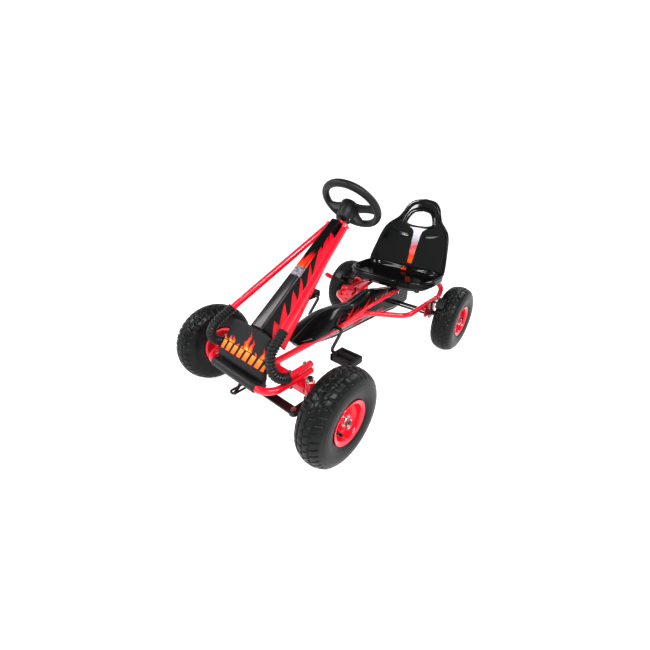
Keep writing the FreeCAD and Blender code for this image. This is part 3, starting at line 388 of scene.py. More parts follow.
def piece(name, mesh, body, material, replaces=(), place=None):
    """A new object that rides on a body, wears the given material and hides the CAD nodes that it
    replaces.
    """
    obj = bpy.data.objects.new(name, mesh)
    bpy.context.scene.collection.objects.link(obj)
    if place:
        obj.matrix_world = place
    if not mesh.materials:
        mesh.materials.append(material)
    mesh.shade_smooth()
    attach(obj, body)
    if replaces:
        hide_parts(*replaces)
    return obj


def mesh_of(name, points, faces):
    mesh = bpy.data.meshes.new(name)
    mesh.from_pydata([tuple(p) for p in points], [], faces)
    work = bmesh.new()
    work.from_mesh(mesh)
    bmesh.ops.recalc_face_normals(work, faces=work.faces)
    work.to_mesh(mesh)
    work.free()
    return mesh


def welded(mesh, distance=1e-6):
    """The mesh with points that stand at the same place joined."""
    work = bmesh.new()
    work.from_mesh(mesh)
    bmesh.ops.remove_doubles(work, verts=work.verts, dist=distance)
    work.to_mesh(mesh)
    work.free()
    return mesh


def face_out(mesh, away):
    """Flip the faces if most of them look against the direction that away gives for each."""
    if sum(face.normal.dot(away(face)) * face.area for face in mesh.polygons) < 0:
        mesh.flip_normals()


def add_rows(points, faces, rows, around=True, along=False, ends=False):
    """Quads between rows of points. around closes each row, along joins the last row to the first."""
    base = len(points)
    count, width = len(rows), len(rows[0])
    for row in rows:
        points.extend(row)
    for r in range(count if along else count - 1):
        for c in range(width if around else width - 1):
            a, b = base + r * width + c, base + r * width + (c + 1) % width
            s = base + (r + 1) % count * width
            faces.append((a, b, s + (c + 1) % width, s + c))
    if ends:
        faces.append(tuple(base + c for c in range(width)))
        faces.append(tuple(base + (count - 1) * width + c for c in range(width)))


def grid_mesh(name, rows, **how):
    """A mesh of one grid of rows."""
    points, faces = [], []
    add_rows(points, faces, rows, **how)
    return mesh_of(name, points, faces)


def spun(profile, steps):
    """Rows of a profile, as places and radii in millimetres, turned about the X axis."""
    return [[Vector((a * MM, r * MM * c, r * MM * s)) for a, r in profile] for c, s in circle(steps)]


def moved(rows, centre, turn=Matrix.Identity(3)):
    """The rows, turned and then carried to a centre."""
    return [[centre + turn @ p for p in row] for row in rows]


def swept(path, radius, sides):
    """Rings of a round section carried along a path. radius takes the distance along it."""
    rows = []
    side = None
    travelled = 0.0
    for index, point in enumerate(path):
        ahead = path[min(index + 1, len(path) - 1)] - path[max(index - 1, 0)]
        ahead.normalize()
        if side is None:
            side = ahead.orthogonal().normalized()
        side = (side - ahead * side.dot(ahead)).normalized()
        other = ahead.cross(side)
        if index:
            travelled += (point - path[index - 1]).length
        size = radius(travelled)
        rows.append([point + (side * c + other * s) * size for c, s in circle(sides)])
    return rows


def bent_path(before, here, after, radius, step):
    """Points along two straight runs joined by a tangent arc, about a step apart."""
    path = [before]

    def run_to(end):
        start = path[-1].copy()
        count = max(1, round((end - start).length / step))
        for index in range(1, count + 1):
            path.append(start.lerp(end, index / count))

    back, ahead = (before - here).normalized(), (after - here).normalized()
    half = back.angle(ahead) / 2
    centre = here + (back + ahead).normalized() * (radius / math.sin(half))
    first = here + back * (radius / math.tan(half))
    run_to(first)
    spoke = first - centre
    axis = spoke.cross(here + ahead * (radius / math.tan(half)) - centre).normalized()
    sweep = math.pi - 2 * half
    count = max(3, round(radius * sweep / step))
    for k in range(1, count + 1):
        path.append(centre + Matrix.Rotation(sweep * k / count, 3, axis) @ spoke)
    run_to(after)
    return path


def modifier(obj, kind, **settings):
    made = obj.modifiers.new(kind.lower(), kind)
    for name, value in settings.items():
        setattr(made, name, value)


def thicken(obj, wall):
    """Give an open shell its wall, in millimetres, on the inner side."""
    modifier(obj, "SOLIDIFY", thickness=wall * MM, offset=-1.0, use_rim=True)


def curve_points(control, per_span):
    """A smooth line through control points, as a Catmull-Rom spline."""
    padded = [control[0] * 2 - control[1]] + control + [control[-1] * 2 - control[-2]]
    line = []
    for i in range(1, len(padded) - 2):
        a, b, c, d = padded[i - 1:i + 3]
        for k in range(per_span):
            t = k / per_span
            line.append(0.5 * ((2 * b) + (c - a) * t + (2 * a - 5 * b + 4 * c - d) * t * t
                               + (3 * b - a - 3 * c + d) * t ** 3))
    line.append(control[-1])
    return line


# ---------------------------------------------------------------- wheels

TREAD_PITCHES = 38
TREAD_DEPTH = 3.2
TYRE_STEPS = 532


def zigzag(phase):
    """Runs from -1 to 1 and back once for each unit of phase."""
    return 1 - 4 * abs((phase % 1.0) - 0.5)


def groove(distance, half):
    """1 in the middle of a groove, 0 beyond its edge, in millimetres."""
    return 1 - smooth(half - 0.5, half + 0.6, abs(distance))


def tread_cut(across, phase, pitch):
    """How deep the tread is cut, 0 to 1, at a place across the crown and along one pitch."""
    side = 1 if across > 0 else -1
    row = phase + (0.0 if side > 0 else 0.5)
    out = abs(across)
    wave = 2.8 * zigzag(phase)
    depth = groove(across - wave, 1.3)
    rib = 17.5 + 2.2 * zigzag(row + 0.25)
    depth = max(depth, groove(out - rib, 1.4))
    if out < rib:
        slant = ((row + 0.016 * out) % 1.0 - 0.5) * pitch
        depth = max(depth, groove(slant, 1.3))
    else:
        lug = ((row + 0.45 + 0.010 * out) % 1.0 - 0.5) * pitch
        depth = max(depth, groove(lug, 1.5 + 0.05 * (out - rib)))
    return depth * (1 - smooth(38.0, 43.0, out))


def tyre_profile(radius, half):
    """Across the outside from bead to bead, as place, radius and distance from the crown's middle."""
    crown_half, shoulder = 31.0, radius - 9.0
    crown = (crown_half ** 2 + 9.0 ** 2) / (2 * 9.0)
    spread = math.asin(crown_half / crown)
    points = []
    for k in range(21):
        angle = spread * k / 20
        points.append((crown * math.sin(angle), radius - crown + crown * math.cos(angle),
                       crown * angle))
    side = [Vector((crown_half, shoulder, 0)), Vector((38.6, radius - 19.5, 0)),
            Vector((half, radius - 38.0, 0)), Vector((40.6, radius - 55.0, 0)),
            Vector((35.4, radius - 68.0, 0))]
    travelled = points[-1][2]
    last = points[-1]
    for p in curve_points(side, 7)[1:]:
        travelled += math.hypot(p.x - last[0], p.y - last[1])
        ridge = 0.7 * sum(math.exp(-((p.y - radius + r) / 1.1) ** 2) for r in (30.0, 57.0, 61.0))
        points.append((min(p.x + ridge, half), p.y, travelled))
        last = (p.x, p.y)
    right = points
    left = [(-x, r, -s) for x, r, s in reversed(points[1:])]
    return left + right


def tyre_mesh(radius, half):
    line = tyre_profile(radius / MM, half / MM)
    bead = [(33.5, 53.5), (20.0, 52.5), (-20.0, 52.5), (-33.5, 53.5)]
    rows = []
    pitch = 2 * math.pi * radius / MM / TREAD_PITCHES
    for step, (c, s) in enumerate(circle(TYRE_STEPS)):
        phase = TREAD_PITCHES * step / TYRE_STEPS
        row = []
        for x, r, across in line:
            cut = TREAD_DEPTH * tread_cut(across, phase, pitch) if abs(across) < 46.0 else 0.0
            lean = min(max((abs(across) - 31.0) / 18.0, 0.0), 0.8)
            x -= math.copysign(cut * lean, x)
            r -= cut * (1 - lean * 0.6)
            row.append(Vector((x * MM, r * MM * c, r * MM * s)))
        row += [Vector((x * MM, r * MM * c, r * MM * s)) for x, r in bead]
        rows.append(row)
    return grid_mesh("tyre", rows, along=True)


def rim_mesh():
    """The pressed rim and its hub as one turned section, open side towards +X."""
    dish = [(24.5, 14.2), (25.0, 17.2), (24.0, 18.4), (12.2, 18.8), (11.2, 20.5), (12.4, 38.0),
            (15.5, 43.5), (20.0, 46.8), (27.0, 48.4), (33.0, 48.8), (35.2, 50.4)]
    flange = [(36.2, 54.6), (36.8, 57.8), (37.8, 58.8), (37.9, 60.2), (36.8, 60.6), (35.0, 60.2),
              (34.4, 57.0), (33.8, 52.4), (32.0, 51.0)]
    far_flange = [(-a, r) for a, r in reversed(flange)]
    well = [(-34.0, 48.6), (-28.0, 48.2), (10.0, 47.8), (12.0, 45.5), (9.0, 41.0), (8.0, 20.0),
            (7.0, 18.6), (-29.0, 18.2), (-30.2, 17.2), (-30.2, 14.2)]
    return grid_mesh("rim", spun(dish + flange + far_flange + well, 96), along=True)


def valve_mesh():
    """A tyre valve: rubber foot, brass thread and cap, standing along X."""
    profile = [(0.0, 0.0), (0.0, 5.6), (2.5, 5.4), (5.5, 4.1), (12.0, 3.9), (12.6, 3.0),
               (15.0, 3.0), (15.2, 3.9), (21.5, 4.0), (22.4, 3.2), (22.6, 0.0)]
    return welded(grid_mesh("valve", spun(profile, 20), around=False, along=True))


def make_wheels(looks):
    tyre = tyre_mesh(half_size("tyre_front_left").z, half_size("tyre_front_left").x)
    rim = rim_mesh()
    valve = valve_mesh()
    bodies = {"front_left": "wheel_front_left", "front_right": "wheel_front_right",
              "rear_left": "rear_axle", "rear_right": "wheel_rear_right"}
    for index, (corner, body) in enumerate(bodies.items()):
        centre = middle(f"tyre_{corner}")
        facing = Matrix.Rotation(0.0 if centre.x > 0 else math.pi, 4, "Z")
        stand = Matrix.Translation(centre) @ facing
        turned = stand @ Matrix.Rotation(math.pi / 2 * index, 4, "X")
        piece(f"tyre_tread_{corner}", tyre, body, looks["tyre"], (f"tyre_{corner}",),
              place=turned)
        piece(f"rim_disc_{corner}", rim, body, looks["red"], (f"rim_{corner}",), place=turned)
        valve_at = Matrix.Rotation(2.4 + 1.1 * index, 4, "X") @ Matrix.Translation((0.0105, 0, 0.035))
        piece(f"valve_{corner}", valve, body, looks["sleeve"], place=stand @ valve_at)


# ---------------------------------------------------------------- steering wheel

def make_steering_wheel(looks):
    centre = at(0, 369, 566)
    tilt = Matrix.Rotation(math.radians(-45), 4, "X")
    ring, grip = 90.0, 11.0
    points, faces = [], []
    section = [(ring + grip * c, grip * s) for c, s in circle(24)]
    rows = [[Vector((r * c, r * s, z)) * MM for r, z in section] for c, s in circle(128)]
    add_rows(points, faces, rows, along=True)
    hub = [(-59.0, 0.0), (-59.0, 7.0), (-60.0, 18.0), (-58.5, 22.5), (-54.0, 24.5), (-30.0, 27.0),
           (-14.0, 29.5), (-6.0, 30.5), (-2.5, 29.0), (-1.0, 25.5), (-1.8, 22.5), (-3.6, 21.5),
           (-3.2, 19.0), (-1.4, 12.0), (-0.8, 5.0), (-0.8, 0.0)]
    rows = [[p.yzx for p in row] for row in spun(hub, 64)]
    add_rows(points, faces, rows, around=False, along=True)
    for heading, tip in ((5.0, 23.0), (90.0, 18.0), (175.0, 23.0)):
        turn = Matrix.Rotation(math.radians(heading), 3, "Z")
        rows = []
        for k in range(15):
            t = k / 14
            r = lerp(16.0, ring + 1.0, t)
            half = lerp(21.0, 15.5, smooth(0.0, 0.45, t)) + (tip - 15.5) * smooth(0.62, 1.0, t)
            sag = -9.0 + 5.5 * smooth(0.15, 0.95, t)
            thick = lerp(6.5, 5.0, t)
            row = []
            for c, s in circle(24):
                y = half * math.copysign(abs(c) ** 0.55, c)
                z = thick * math.copysign(abs(s) ** 0.75, s)
                dip = -2.2 * (1 - (y / half) ** 2) if s > 0 else 0.0
                row.append(turn @ Vector((r, y, z + sag + dip)) * MM)
            rows.append(row)
        add_rows(points, faces, rows, ends=True)
    placed = Matrix.Translation(centre) @ tilt
    mesh = mesh_of("steering_wheel", [placed @ p for p in points], faces)
    welded(mesh)
    piece("steering_wheel_moulding", mesh, "steering", looks["wheel"],
          ("steering_wheel",))


# ---------------------------------------------------------------- seat

PAN_CENTRE_STATION = 700.0
PAN_HALF, PAN_FRONT, PAN_REAR = 184.0, 122.0, 102.0
BACK_LEAN = math.radians(17.0)
BACK_CURVE, BACK_THICK = 430.0, 16.0
HOLE_LEVEL = 238.0


def pan_edge(c, s):
    """The pan's outline about its centre, a squared oval with a squarer rear."""
    power = 2.9 if s < 0 else 6.0
    reach = PAN_FRONT if s < 0 else PAN_REAR
    scale = (abs(c / PAN_HALF) ** power + abs(s / reach) ** power) ** (-1 / power)
    return c * scale, s * scale


def pan_section():
    """From the middle of the pan out over the rim and back under it: share, inset and level."""
    line = [(share, 0.0, 261.0) for share in (0.0, 0.12, 0.24, 0.36, 0.48, 0.60, 0.70)]
    rim = [(34.0, 262.0), (27.0, 266.0), (21.5, 273.5), (18.0, 280.5), (14.5, 284.6), (10.5, 286.0),
           (6.5, 285.3), (3.2, 283.0), (1.0, 279.4), (0.2, 275.4), (1.3, 272.6), (1.3, 270.8),
           (0.1, 268.2), (0.2, 263.6), (1.6, 259.6), (4.4, 257.2), (8.0, 256.8), (12.0, 255.0),
           (15.0, 250.0), (18.0, 246.6), (26.0, 246.2)]
    under = [(share, 0.0, 246.2) for share in (0.7, 0.35, 0.0)]
    return [(s, i, z) for s, i, z in line] + [(1.0, i, z) for i, z in rim] + under


def back_sides():
    """The back's half outline about the hole's middle, from the foot up to the crown."""
    half = [(0.0, 2.0), (90.0, 2.0), (160.0, 3.0), (173.0, 12.0), (176.5, 44.0), (164.0, 112.0),
            (154.0, 158.0), (141.0, 190.0), (122.0, 212.0), (100.0, 232.0), (86.0, 256.0),
            (72.0, 286.0), (46.0, 309.0), (0.0, 317.9)]
    return curve_points([Vector((x, s, 0)) for x, s in half], 8)


def hole_sides():
    half = [(0.0, 206.0), (36.0, 208.5), (57.0, 215.0), (56.0, 226.0), (47.0, 246.0), (32.0, 261.0),
            (0.0, 268.0)]
    return curve_points([Vector((x, s, 0)) for x, s in half], 8)


def reach_at(line, angle):
    """Distance from the hole's middle to an outline in a direction. The outline is mirrored in X."""
    c, s = abs(math.cos(angle)), math.sin(angle)
    direction = Vector((c, s))
    for a, b in zip(line, line[1:]):
        p, q = Vector((a.x, a.y - HOLE_LEVEL)), Vector((b.x, b.y - HOLE_LEVEL))
        edge = q - p
        cross = direction.x * edge.y - direction.y * edge.x
        if abs(cross) < 1e-9:
            continue
        share = (p.y * direction.x - p.x * direction.y) / -cross
        length = (p.x * edge.y - p.y * edge.x) / cross
        if -1e-6 <= share <= 1 + 1e-6 and length > 0:
            return length
    return abs(line[0].y - HOLE_LEVEL) if s < 0 else abs(line[-1].y - HOLE_LEVEL)


def back_point(x, level, depth):
    """A point of the leaned bowl. depth runs from 0 at the front face to the thickness."""
    y = -BACK_CURVE + math.sqrt((BACK_CURVE + depth) ** 2 - x * x)
    station = 800.0 + y * math.cos(BACK_LEAN) + level * math.sin(BACK_LEAN)
    height = 246.0 - y * math.sin(BACK_LEAN) + level * math.cos(BACK_LEAN)
    return at(x, station, height)


def back_rows():
    outline, opening = back_sides(), hole_sides()
    rows = []
    across = 46
    for step in range(192):
        angle = 2 * math.pi * step / 192 - math.pi / 2
        outer, inner = reach_at(outline, angle), reach_at(opening, angle)
        c, s = math.cos(angle), math.sin(angle)
        span = outer - inner

        def place(inset, depth, c=c, s=s, inner=inner):
            r = inner + inset
            return back_point(r * c, HOLE_LEVEL + r * s, depth)

        row = []
        for k in range(across + 1):
            t = k / across
            inset = lerp(4.0, span - 5.0, t)
            x, level = (inner + inset) * c, HOLE_LEVEL + (inner + inset) * s
            rim = smooth(20.0, 9.0, span - inset) * 4.5
            lip = smooth(18.0, 8.0, inset) * 4.5
            shoulder = 1.6 * math.exp(-((level - 166.0 - 0.0011 * x * x) / 3.6) ** 2)
            shoulder *= smooth(24.0, 44.0, abs(x))
            row.append(place(inset, 5.0 - rim - lip + shoulder))
        row += [place(span - 1.6, 2.2), place(span, 6.4), place(span, 11.5), place(span - 1.8, 15.0)]
        for k in range(across // 3 + 1):
            inset = lerp(span - 6.0, 6.0, k / (across // 3))
            row.append(place(inset, BACK_THICK))
        row += [place(1.8, 15.0), place(0.0, 11.5), place(0.0, 6.4), place(1.4, 2.2)]
        rows.append(row)
    return rows


def seat_strip(look, body):
    """The centre strip: silver at the top, running through red to an orange flame below."""
    x, _, _ = look.axes()
    up = look.along(at(0, 800, 246), (0, math.sin(BACK_LEAN), math.cos(BACK_LEAN)))
    wander = look.scaled(look.noise(40.0, detail=2.0), 0.006, -0.003)
    side = look.size(look.plus(look.minus(x, 0.002), wander))
    flare = look.math("POWER", look.step(up, 0.150, 0.199), 5.0)
    taper = look.scaled(look.step(up, 0.045, 0.150), 0.0065, 0.0105)
    width = look.scaled(flare, 0.026, taper)
    inside = look.step(look.minus(width, side), -0.0006, 0.0006)
    inside = look.times(inside, look.step(up, 0.0450, 0.0462))
    inside = look.times(inside, look.step(up, 0.1990, 0.1978))
    run = look.step(look.scaled(look.noise(70.0, detail=3.0), 0.03, up), 0.055, 0.215)
    tint = look.ramp(run, [(0.0, (0.45, 0.03, 0.0)), (0.10, FLAME_ORANGE), (0.24, (0.9, 0.07, 0.02)),
                           (0.36, (0.85, 0.22, 0.20)), (0.48, (0.66, 0.10, 0.12)),
                           (0.66, (0.50, 0.46, 0.52)), (1.0, (0.80, 0.80, 0.86))])
    body = look.mix(inside, body, tint)
    low = flame_depth(look, x, look.minus(up, 0.014),
                      flame_row(5, -0.010, 0.012, 2, 0.008, 0.022, 0.0))
    low = look.times(look.step(low, -0.0006, 0.0006), look.step(up, 0.012, 0.014))
    return look.mix(look.times(low, look.step(up, 0.040, 0.039)), body, (0.62, 0.06, 0.01))


def make_seat(looks):
    points, faces = [], []
    section = pan_section()
    rows = []
    for c, s in circle(160):
        x, y = pan_edge(c, s)
        length = math.hypot(x, y)
        inward = Vector((-x / length, -y / length))
        row = []
        for share, inset, level in section:
            px, py = x * share, y * share
            if share == 1.0:
                px, py = px + inward.x * inset, py + inward.y * inset
            elif level > 250:
                px, py = x * share * 0.83, y * share * 0.83
            row.append(at(px, PAN_CENTRE_STATION + py, level))
        rows.append(row)
    add_rows(points, faces, rows, around=False, along=True)
    add_rows(points, faces, back_rows(), around=True, along=True)
    mesh = mesh_of("seat_shell", points, faces)
    welded(mesh, 2e-5)
    piece("seat_shell", mesh, "frame", looks["seat"], ("seat",))


# ---------------------------------------------------------------- guard

GUARD_HALF = 28.0
HOOD_LEVEL, HOOD_HALF = 195.0, 53.5


def ray_level(tree, station, start, towards):
    hit = tree.ray_cast(at(6.0, station, start), Vector((0, 0, towards)))[0]
    return None if hit is None else hit.z / MM


def eased(levels, reach):
    """Each level averaged with its neighbours, so that small steps fade."""
    result = []
    for index in range(len(levels)):
        span = min(reach, index, len(levels) - 1 - index)
        near = levels[index - span:index + span + 1]
        result.append(sum(near) / len(near))
    return result


def guard_rows(tree, stations):
    """Half sections of the guard from its top line round to its bottom line."""
    tops = eased([ray_level(tree, station, 400.0, -1) for station in stations], 13)
    bottoms = eased([ray_level(tree, station, -50.0, 1) for station in stations], 3)
    rows = []
    for station, top, bottom in zip(stations, tops, bottoms):
        hood = smooth(98.0, 150.0, station) * smooth(340.0, 230.0, station)
        split = lerp(bottom + 0.62 * (top - bottom), min(HOOD_LEVEL, top - 6.0), smooth(330, 240, station))
        nose = smooth(99.0, 116.0, station) * smooth(813.0, 790.0, station)
        wide = GUARD_HALF * (0.72 + 0.28 * nose)
        row = []
        for k in range(15):
            t = k / 14
            angle = t * math.pi / 2
            plain_x = wide * math.sin(angle) ** 0.62
            drop = 1 - math.cos(angle) ** 0.62
            plain_z = top - (top - split) * (drop * 0.45 + 0.55 * t ** 2.2)
            hood_x = HOOD_HALF * math.sin(angle) ** 0.95
            hood_z = top - (top - split) * (0.35 * t + 0.65 * t ** 2.4)
            row.append(at(lerp(plain_x, hood_x, hood), station, lerp(plain_z, hood_z, hood)))
        for k in range(1, 17):
            t = k / 16
            angle = t * math.pi / 2
            z = split - (split - bottom) * (0.55 * t + 0.45 * (1 - math.cos(angle) ** 0.55))
            x = wide * (1 - smooth(0.62, 1.0, t) ** 2.2)
            if k == 1:
                row.append(at(wide, station, split - 0.6))
            row.append(at(x, station, z))
        rows.append(row)
    return rows


def guard_art(look, body):
    """Dark flames on the flank behind the nose, and a strip of silver and red patches below."""
    _, y, z = look.axes()
    u = look.minus(y, FRONT_Y)
    v = look.minus(z, 0.190)
    depth = flame_depth(look, u, v, flame_row(11, 0.330, 0.600, 8, 0.019, 0.036, 1.3), turns=60.0)
    inside = look.times(look.step(depth, -0.0008, 0.0008), look.step(v, -0.001, 0.001))
    heat = look.scaled(look.noise(30.0, detail=2.0), 0.4, look.step(depth, 0.0, 0.03))
    tint = look.ramp(heat, [(0.15, (0.28, 0.004, 0.006)), (0.50, FLAME_RED), (0.90, FLAME_ORANGE)])
    body = look.mix(inside, body, tint)
    lean = look.scaled(z, -0.9, u)
    cells = look.math("PINGPONG", look.minus(lean, 0.10), 0.085)
    patch = look.step(cells, 0.026, 0.0275)
    low = look.band(z, (0.126, 0.1265), (0.1605, 0.160))
    span = look.band(u, (0.150, 0.152), (0.590, 0.588))
    mottle = look.mix(look.noise(55.0, detail=4.0), (0.30, 0.29, 0.33), (0.10, 0.095, 0.11))
    strip = look.mix(patch, (0.34, 0.006, 0.010), mottle)
    return look.mix(look.times(low, span), body, strip)


def make_guard(looks):
    tree = BVHTree.FromObject(NODES["guard_left"], bpy.context.evaluated_depsgraph_get())
    stations = [101.0, 102.5, 105.0] + [108.0 + 4.0 * k for k in range(169)]
    stations += [786.0, 790.0, 794.0, 798.0, 801.0, 804.0, 806.5, 808.5, 810.0, 811.2]
    rows = guard_rows(tree, stations)
    for side, name in ((1, "left"), (-1, "right")):
        handed = [[Vector((p.x * side, p.y, p.z)) for p in row] for row in rows]
        mesh = grid_mesh(f"guard_{name}", handed, around=False, ends=True)
        shell = piece(f"guard_shell_{name}", mesh, "frame", looks["guard"],
                      (f"guard_{name}",))
        face_out(mesh, lambda face, side=side: Vector((side, 0, 0)))
        thicken(shell, 1.8)


# ---------------------------------------------------------------- covers

COLUMN_FOOT, COLUMN_HEAD = (-28.0, 289.0), (291.0, 532.3)


def column_axes():
    foot, head = at(0, *COLUMN_FOOT), at(0, *COLUMN_HEAD)
    along = (head - foot).normalized()
    deep = Vector((0, along.z, -along.y))
    return foot, along, deep, (head - foot).length / MM


def column_art(look, body):
    """Charcoal front with a silver patch and flames, and red flame licks up both sides."""
    foot, along, deep, length = column_axes()
    x, _, _ = look.axes()
    u = look.along(foot, along)
    depth = look.along(foot, deep)
    front = look.step(depth, 0.0062, 0.0052)
    rise = look.minus(u, 0.215)
    tongues = flame_depth(look, x, rise, flame_row(3, -0.022, 0.022, 5, 0.0085, 0.070, 0.0), turns=60.0)
    flame = look.times(look.step(tongues, -0.0006, 0.0006), look.step(rise, 0.0, 0.001))
    hot = look.ramp(look.step(look.scaled(look.noise(60.0), 0.03, rise), 0.0, 0.075),
                    [(0.0, FLAME_ORANGE), (0.35, (0.90, 0.07, 0.02)), (0.75, FLAME_RED),
                     (1.0, (0.2, 0.0, 0.0))])
    charcoal = look.mix(look.noise(50.0, detail=4.0), (0.022, 0.018, 0.021), (0.036, 0.030, 0.034))
    face = look.mix(look.step(u, 0.215, 0.250), charcoal, body)
    face = look.mix(flame, face, hot)
    patch = look.band(u, (0.183, 0.1835), (0.2155, 0.215))
    mottled = look.mix(look.step(look.noise(160.0, detail=4.0), 0.35, 0.65),
                       (0.40, 0.38, 0.42), (0.10, 0.09, 0.10))
    face = look.mix(patch, face, mottled)
    width = look.scaled(look.math("DIVIDE", u, length * MM), 0.040 - 0.104, 0.104)
    spread = look.math("DIVIDE", depth, width)
    climb = look.times(look.minus(0.72, spread), 0.085)
    licks = flame_depth(look, u, climb, flame_row(8, -0.03, 0.330, 8, 0.031, 0.080, 1.3),
                        sway=0.005, turns=80.0)
    red_side = look.times(look.step(licks, -0.0008, 0.0008), look.step(u, 0.356, 0.350))
    heat = look.step(look.scaled(look.noise(26.0, detail=3.0), 0.02, licks), 0.004, 0.020)
    side_tint = look.ramp(heat, [(0.0, (0.38, 0.004, 0.010)), (0.30, FLAME_RED), (0.75, RED)])
    side = look.mix(red_side, body, side_tint)
    return look.mix(front, side, face)


def make_column_cover(looks):
    foot, along, deep, length = column_axes()
    across = Vector((1, 0, 0))
    rows = []
    count = 60
    for k in range(count + 1):
        t = k / count
        front, rear, depth = lerp(22.0, 14.0, t), lerp(41.0, 19.0, t), lerp(104.0, 40.0, t)
        collar = 0.8 * smooth(0.800, 0.808, t)
        front, rear = front - collar, rear - collar
        origin = foot + along * (length * t * MM)
        half = []
        for j in range(7):
            x = front * 0.86 * j / 6
            half.append((x, collar + 0.9 * (x / front) ** 2))
        for j in range(1, 8):
            turn = math.pi / 2 * j / 7
            x = front * 0.86 + (front * 0.14 + 1.2) * math.sin(turn)
            half.append((x, collar + 0.9 + 4.6 * (1 - math.cos(turn))))
        start_x, start_d = half[-1]
        for j in range(1, 15):
            s = j / 14
            half.append((lerp(start_x, rear, s) + 1.0 * math.sin(math.pi * s), lerp(start_d, depth, s)))
        half[-1] = (rear - 0.6, depth)
        line = [(-x, d) for x, d in reversed(half[1:])] + half
        rows.append([origin + (across * x + deep * d) * MM for x, d in line])
    mesh = grid_mesh("column_cover", rows, around=False)
    face_out(mesh, lambda face: Vector(face.center) - (foot + deep * 0.05))
    shell = piece("column_shell", mesh, "frame", looks["column"], ("column_cover",))
    thicken(shell, 2.2)


def panel_line():
    """The panel's front face from its rolled top edge down to its tucked-under chin."""
    control = [(-38.0, 297.0), (-43.0, 297.6), (-46.5, 293.5), (-60.0, 267.0), (-76.0, 236.0),
               (-87.0, 214.5), (-91.8, 203.5), (-93.0, 195.0), (-92.6, 180.0), (-90.5, 171.5),
               (-84.5, 168.3), (-78.0, 168.2)]
    return curve_points([Vector((y, z, 0)) for y, z in control], 5)


def panel_half(level):
    if level > 286.0:
        return 80.0 - 9.0 * ((level - 286.0) / 12.0) ** 2
    if level > 205.0:
        return lerp(104.0, 80.0, (level - 205.0) / 81.0)
    return lerp(97.0, 104.0, (level - 168.0) / 37.0)


def panel_art(look, body):
    """Flames to mid height over a row of slanted bars, above a plain black chin."""
    x, _, _ = look.axes()
    slope = (at(0, -44, 298) - at(0, -93, 203)).normalized()
    v = look.along(at(0, -93, 203) + slope * 0.013, slope)
    wander = look.scaled(look.noise(70.0, detail=3.0), 0.012, -0.006)
    u = look.plus(x, wander)
    over = look.minus(v, 0.022)
    row = flame_row(21, -0.088, 0.078, 9, 0.0135, 0.038, 0.05)
    row.append((0.010, 0.015, 0.066, 0.05, 0.4))
    row.append((0.032, 0.011, 0.050, -0.10, 2.1))
    depth = flame_depth(look, u, over, row, sway=0.0035, turns=150.0)
    inside = look.times(look.step(depth, -0.0006, 0.0006), look.step(v, 0.002, 0.003))
    heat = look.plus(look.step(depth, 0.0, 0.010), look.step(v, 0.080, 0.010))
    heat = look.scaled(look.noise(120.0, detail=3.0), 0.5, look.times(heat, 0.42))
    tint = look.ramp(heat, [(0.26, (0.42, 0.003, 0.006)), (0.44, (0.82, 0.022, 0.010)),
                            (0.66, (0.95, 0.12, 0.012)), (0.92, FLAME_YELLOW)])
    body = look.mix(inside, body, tint)
    lean = look.scaled(v, -0.35, x)
    shade = look.band(v, (0.0015, 0.0025), (0.0335, 0.0325))
    body = look.mix(look.times(shade, look.step(look.size(x), 0.0965, 0.095)),
                    body, (0.045, 0.004, 0.004))
    cell = look.math("PINGPONG", look.plus(lean, 0.2), 0.0125)
    bar = look.step(cell, 0.0040, 0.0046)
    rows = look.band(v, (0.0045, 0.005), (0.0310, 0.0305))
    span = look.step(look.size(x), 0.0925, 0.0915)
    bar = look.times(look.times(bar, rows), span)
    edge = look.mix(look.step(v, 0.0, 0.031), (0.92, 0.13, 0.012), (1.0, 0.36, 0.05))
    return look.mix(bar, body, edge)


def make_front_panel(looks):
    line = panel_line()
    rows = []
    columns = 41
    for index, p in enumerate(line):
        before, after = line[max(index - 1, 0)], line[min(index + 1, len(line) - 1)]
        run = (after - before).normalized()
        inward = Vector((-run.y, run.x, 0))
        half = panel_half(p.y)
        row = []
        for c in range(columns):
            share = 2 * c / (columns - 1) - 1
            bend = smooth(0.86, 1.0, abs(share))
            x = half * math.copysign(abs(share) ** 0.92, share)
            crown = -1.5 * (1 - share * share)
            q = p + inward * (bend * bend * 7.0 + 1.5 + crown)
            row.append(at(x, q.x, q.y))
        rows.append(row)
    mesh = grid_mesh("front_panel", rows, around=False)
    face_out(mesh, lambda face: Vector((0, -1, 0)))
    panel = piece("panel_skin", mesh, "frame", looks["panel"], ("front_panel",))
    thicken(panel, 2.6)


# ---------------------------------------------------------------- sleeves and small parts

RIB_PITCH = 8.6


def make_corrugated_sleeves(looks):
    for side, name in ((1, "left"), (-1, "right")):
        path = bent_path(at(136.0 * side, 42, 203), at(145.5 * side, -201, 204.5),
                         at(31.0 * side, 297, 507), 48.0 * MM, 0.8 * MM)
        _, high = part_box(f"corrugated_sleeve_{name}")
        start = next(i for i, p in enumerate(path) if p.y < FRONT_Y - 0.0435)
        inside = [p for p in path[start:] if p.z < high.z - 0.013]

        def rib(distance):
            wave = math.cos(2 * math.pi * distance / (RIB_PITCH * MM))
            return (10.6 + 3.3 * (0.5 + 0.5 * wave) ** 0.75) * MM

        mesh = grid_mesh(f"ribbed_sleeve_{name}", swept(inside, rib, 28), ends=True)
        piece(f"ribbed_sleeve_{name}", mesh, "frame", looks["sleeve"],
              (f"corrugated_sleeve_{name}",))


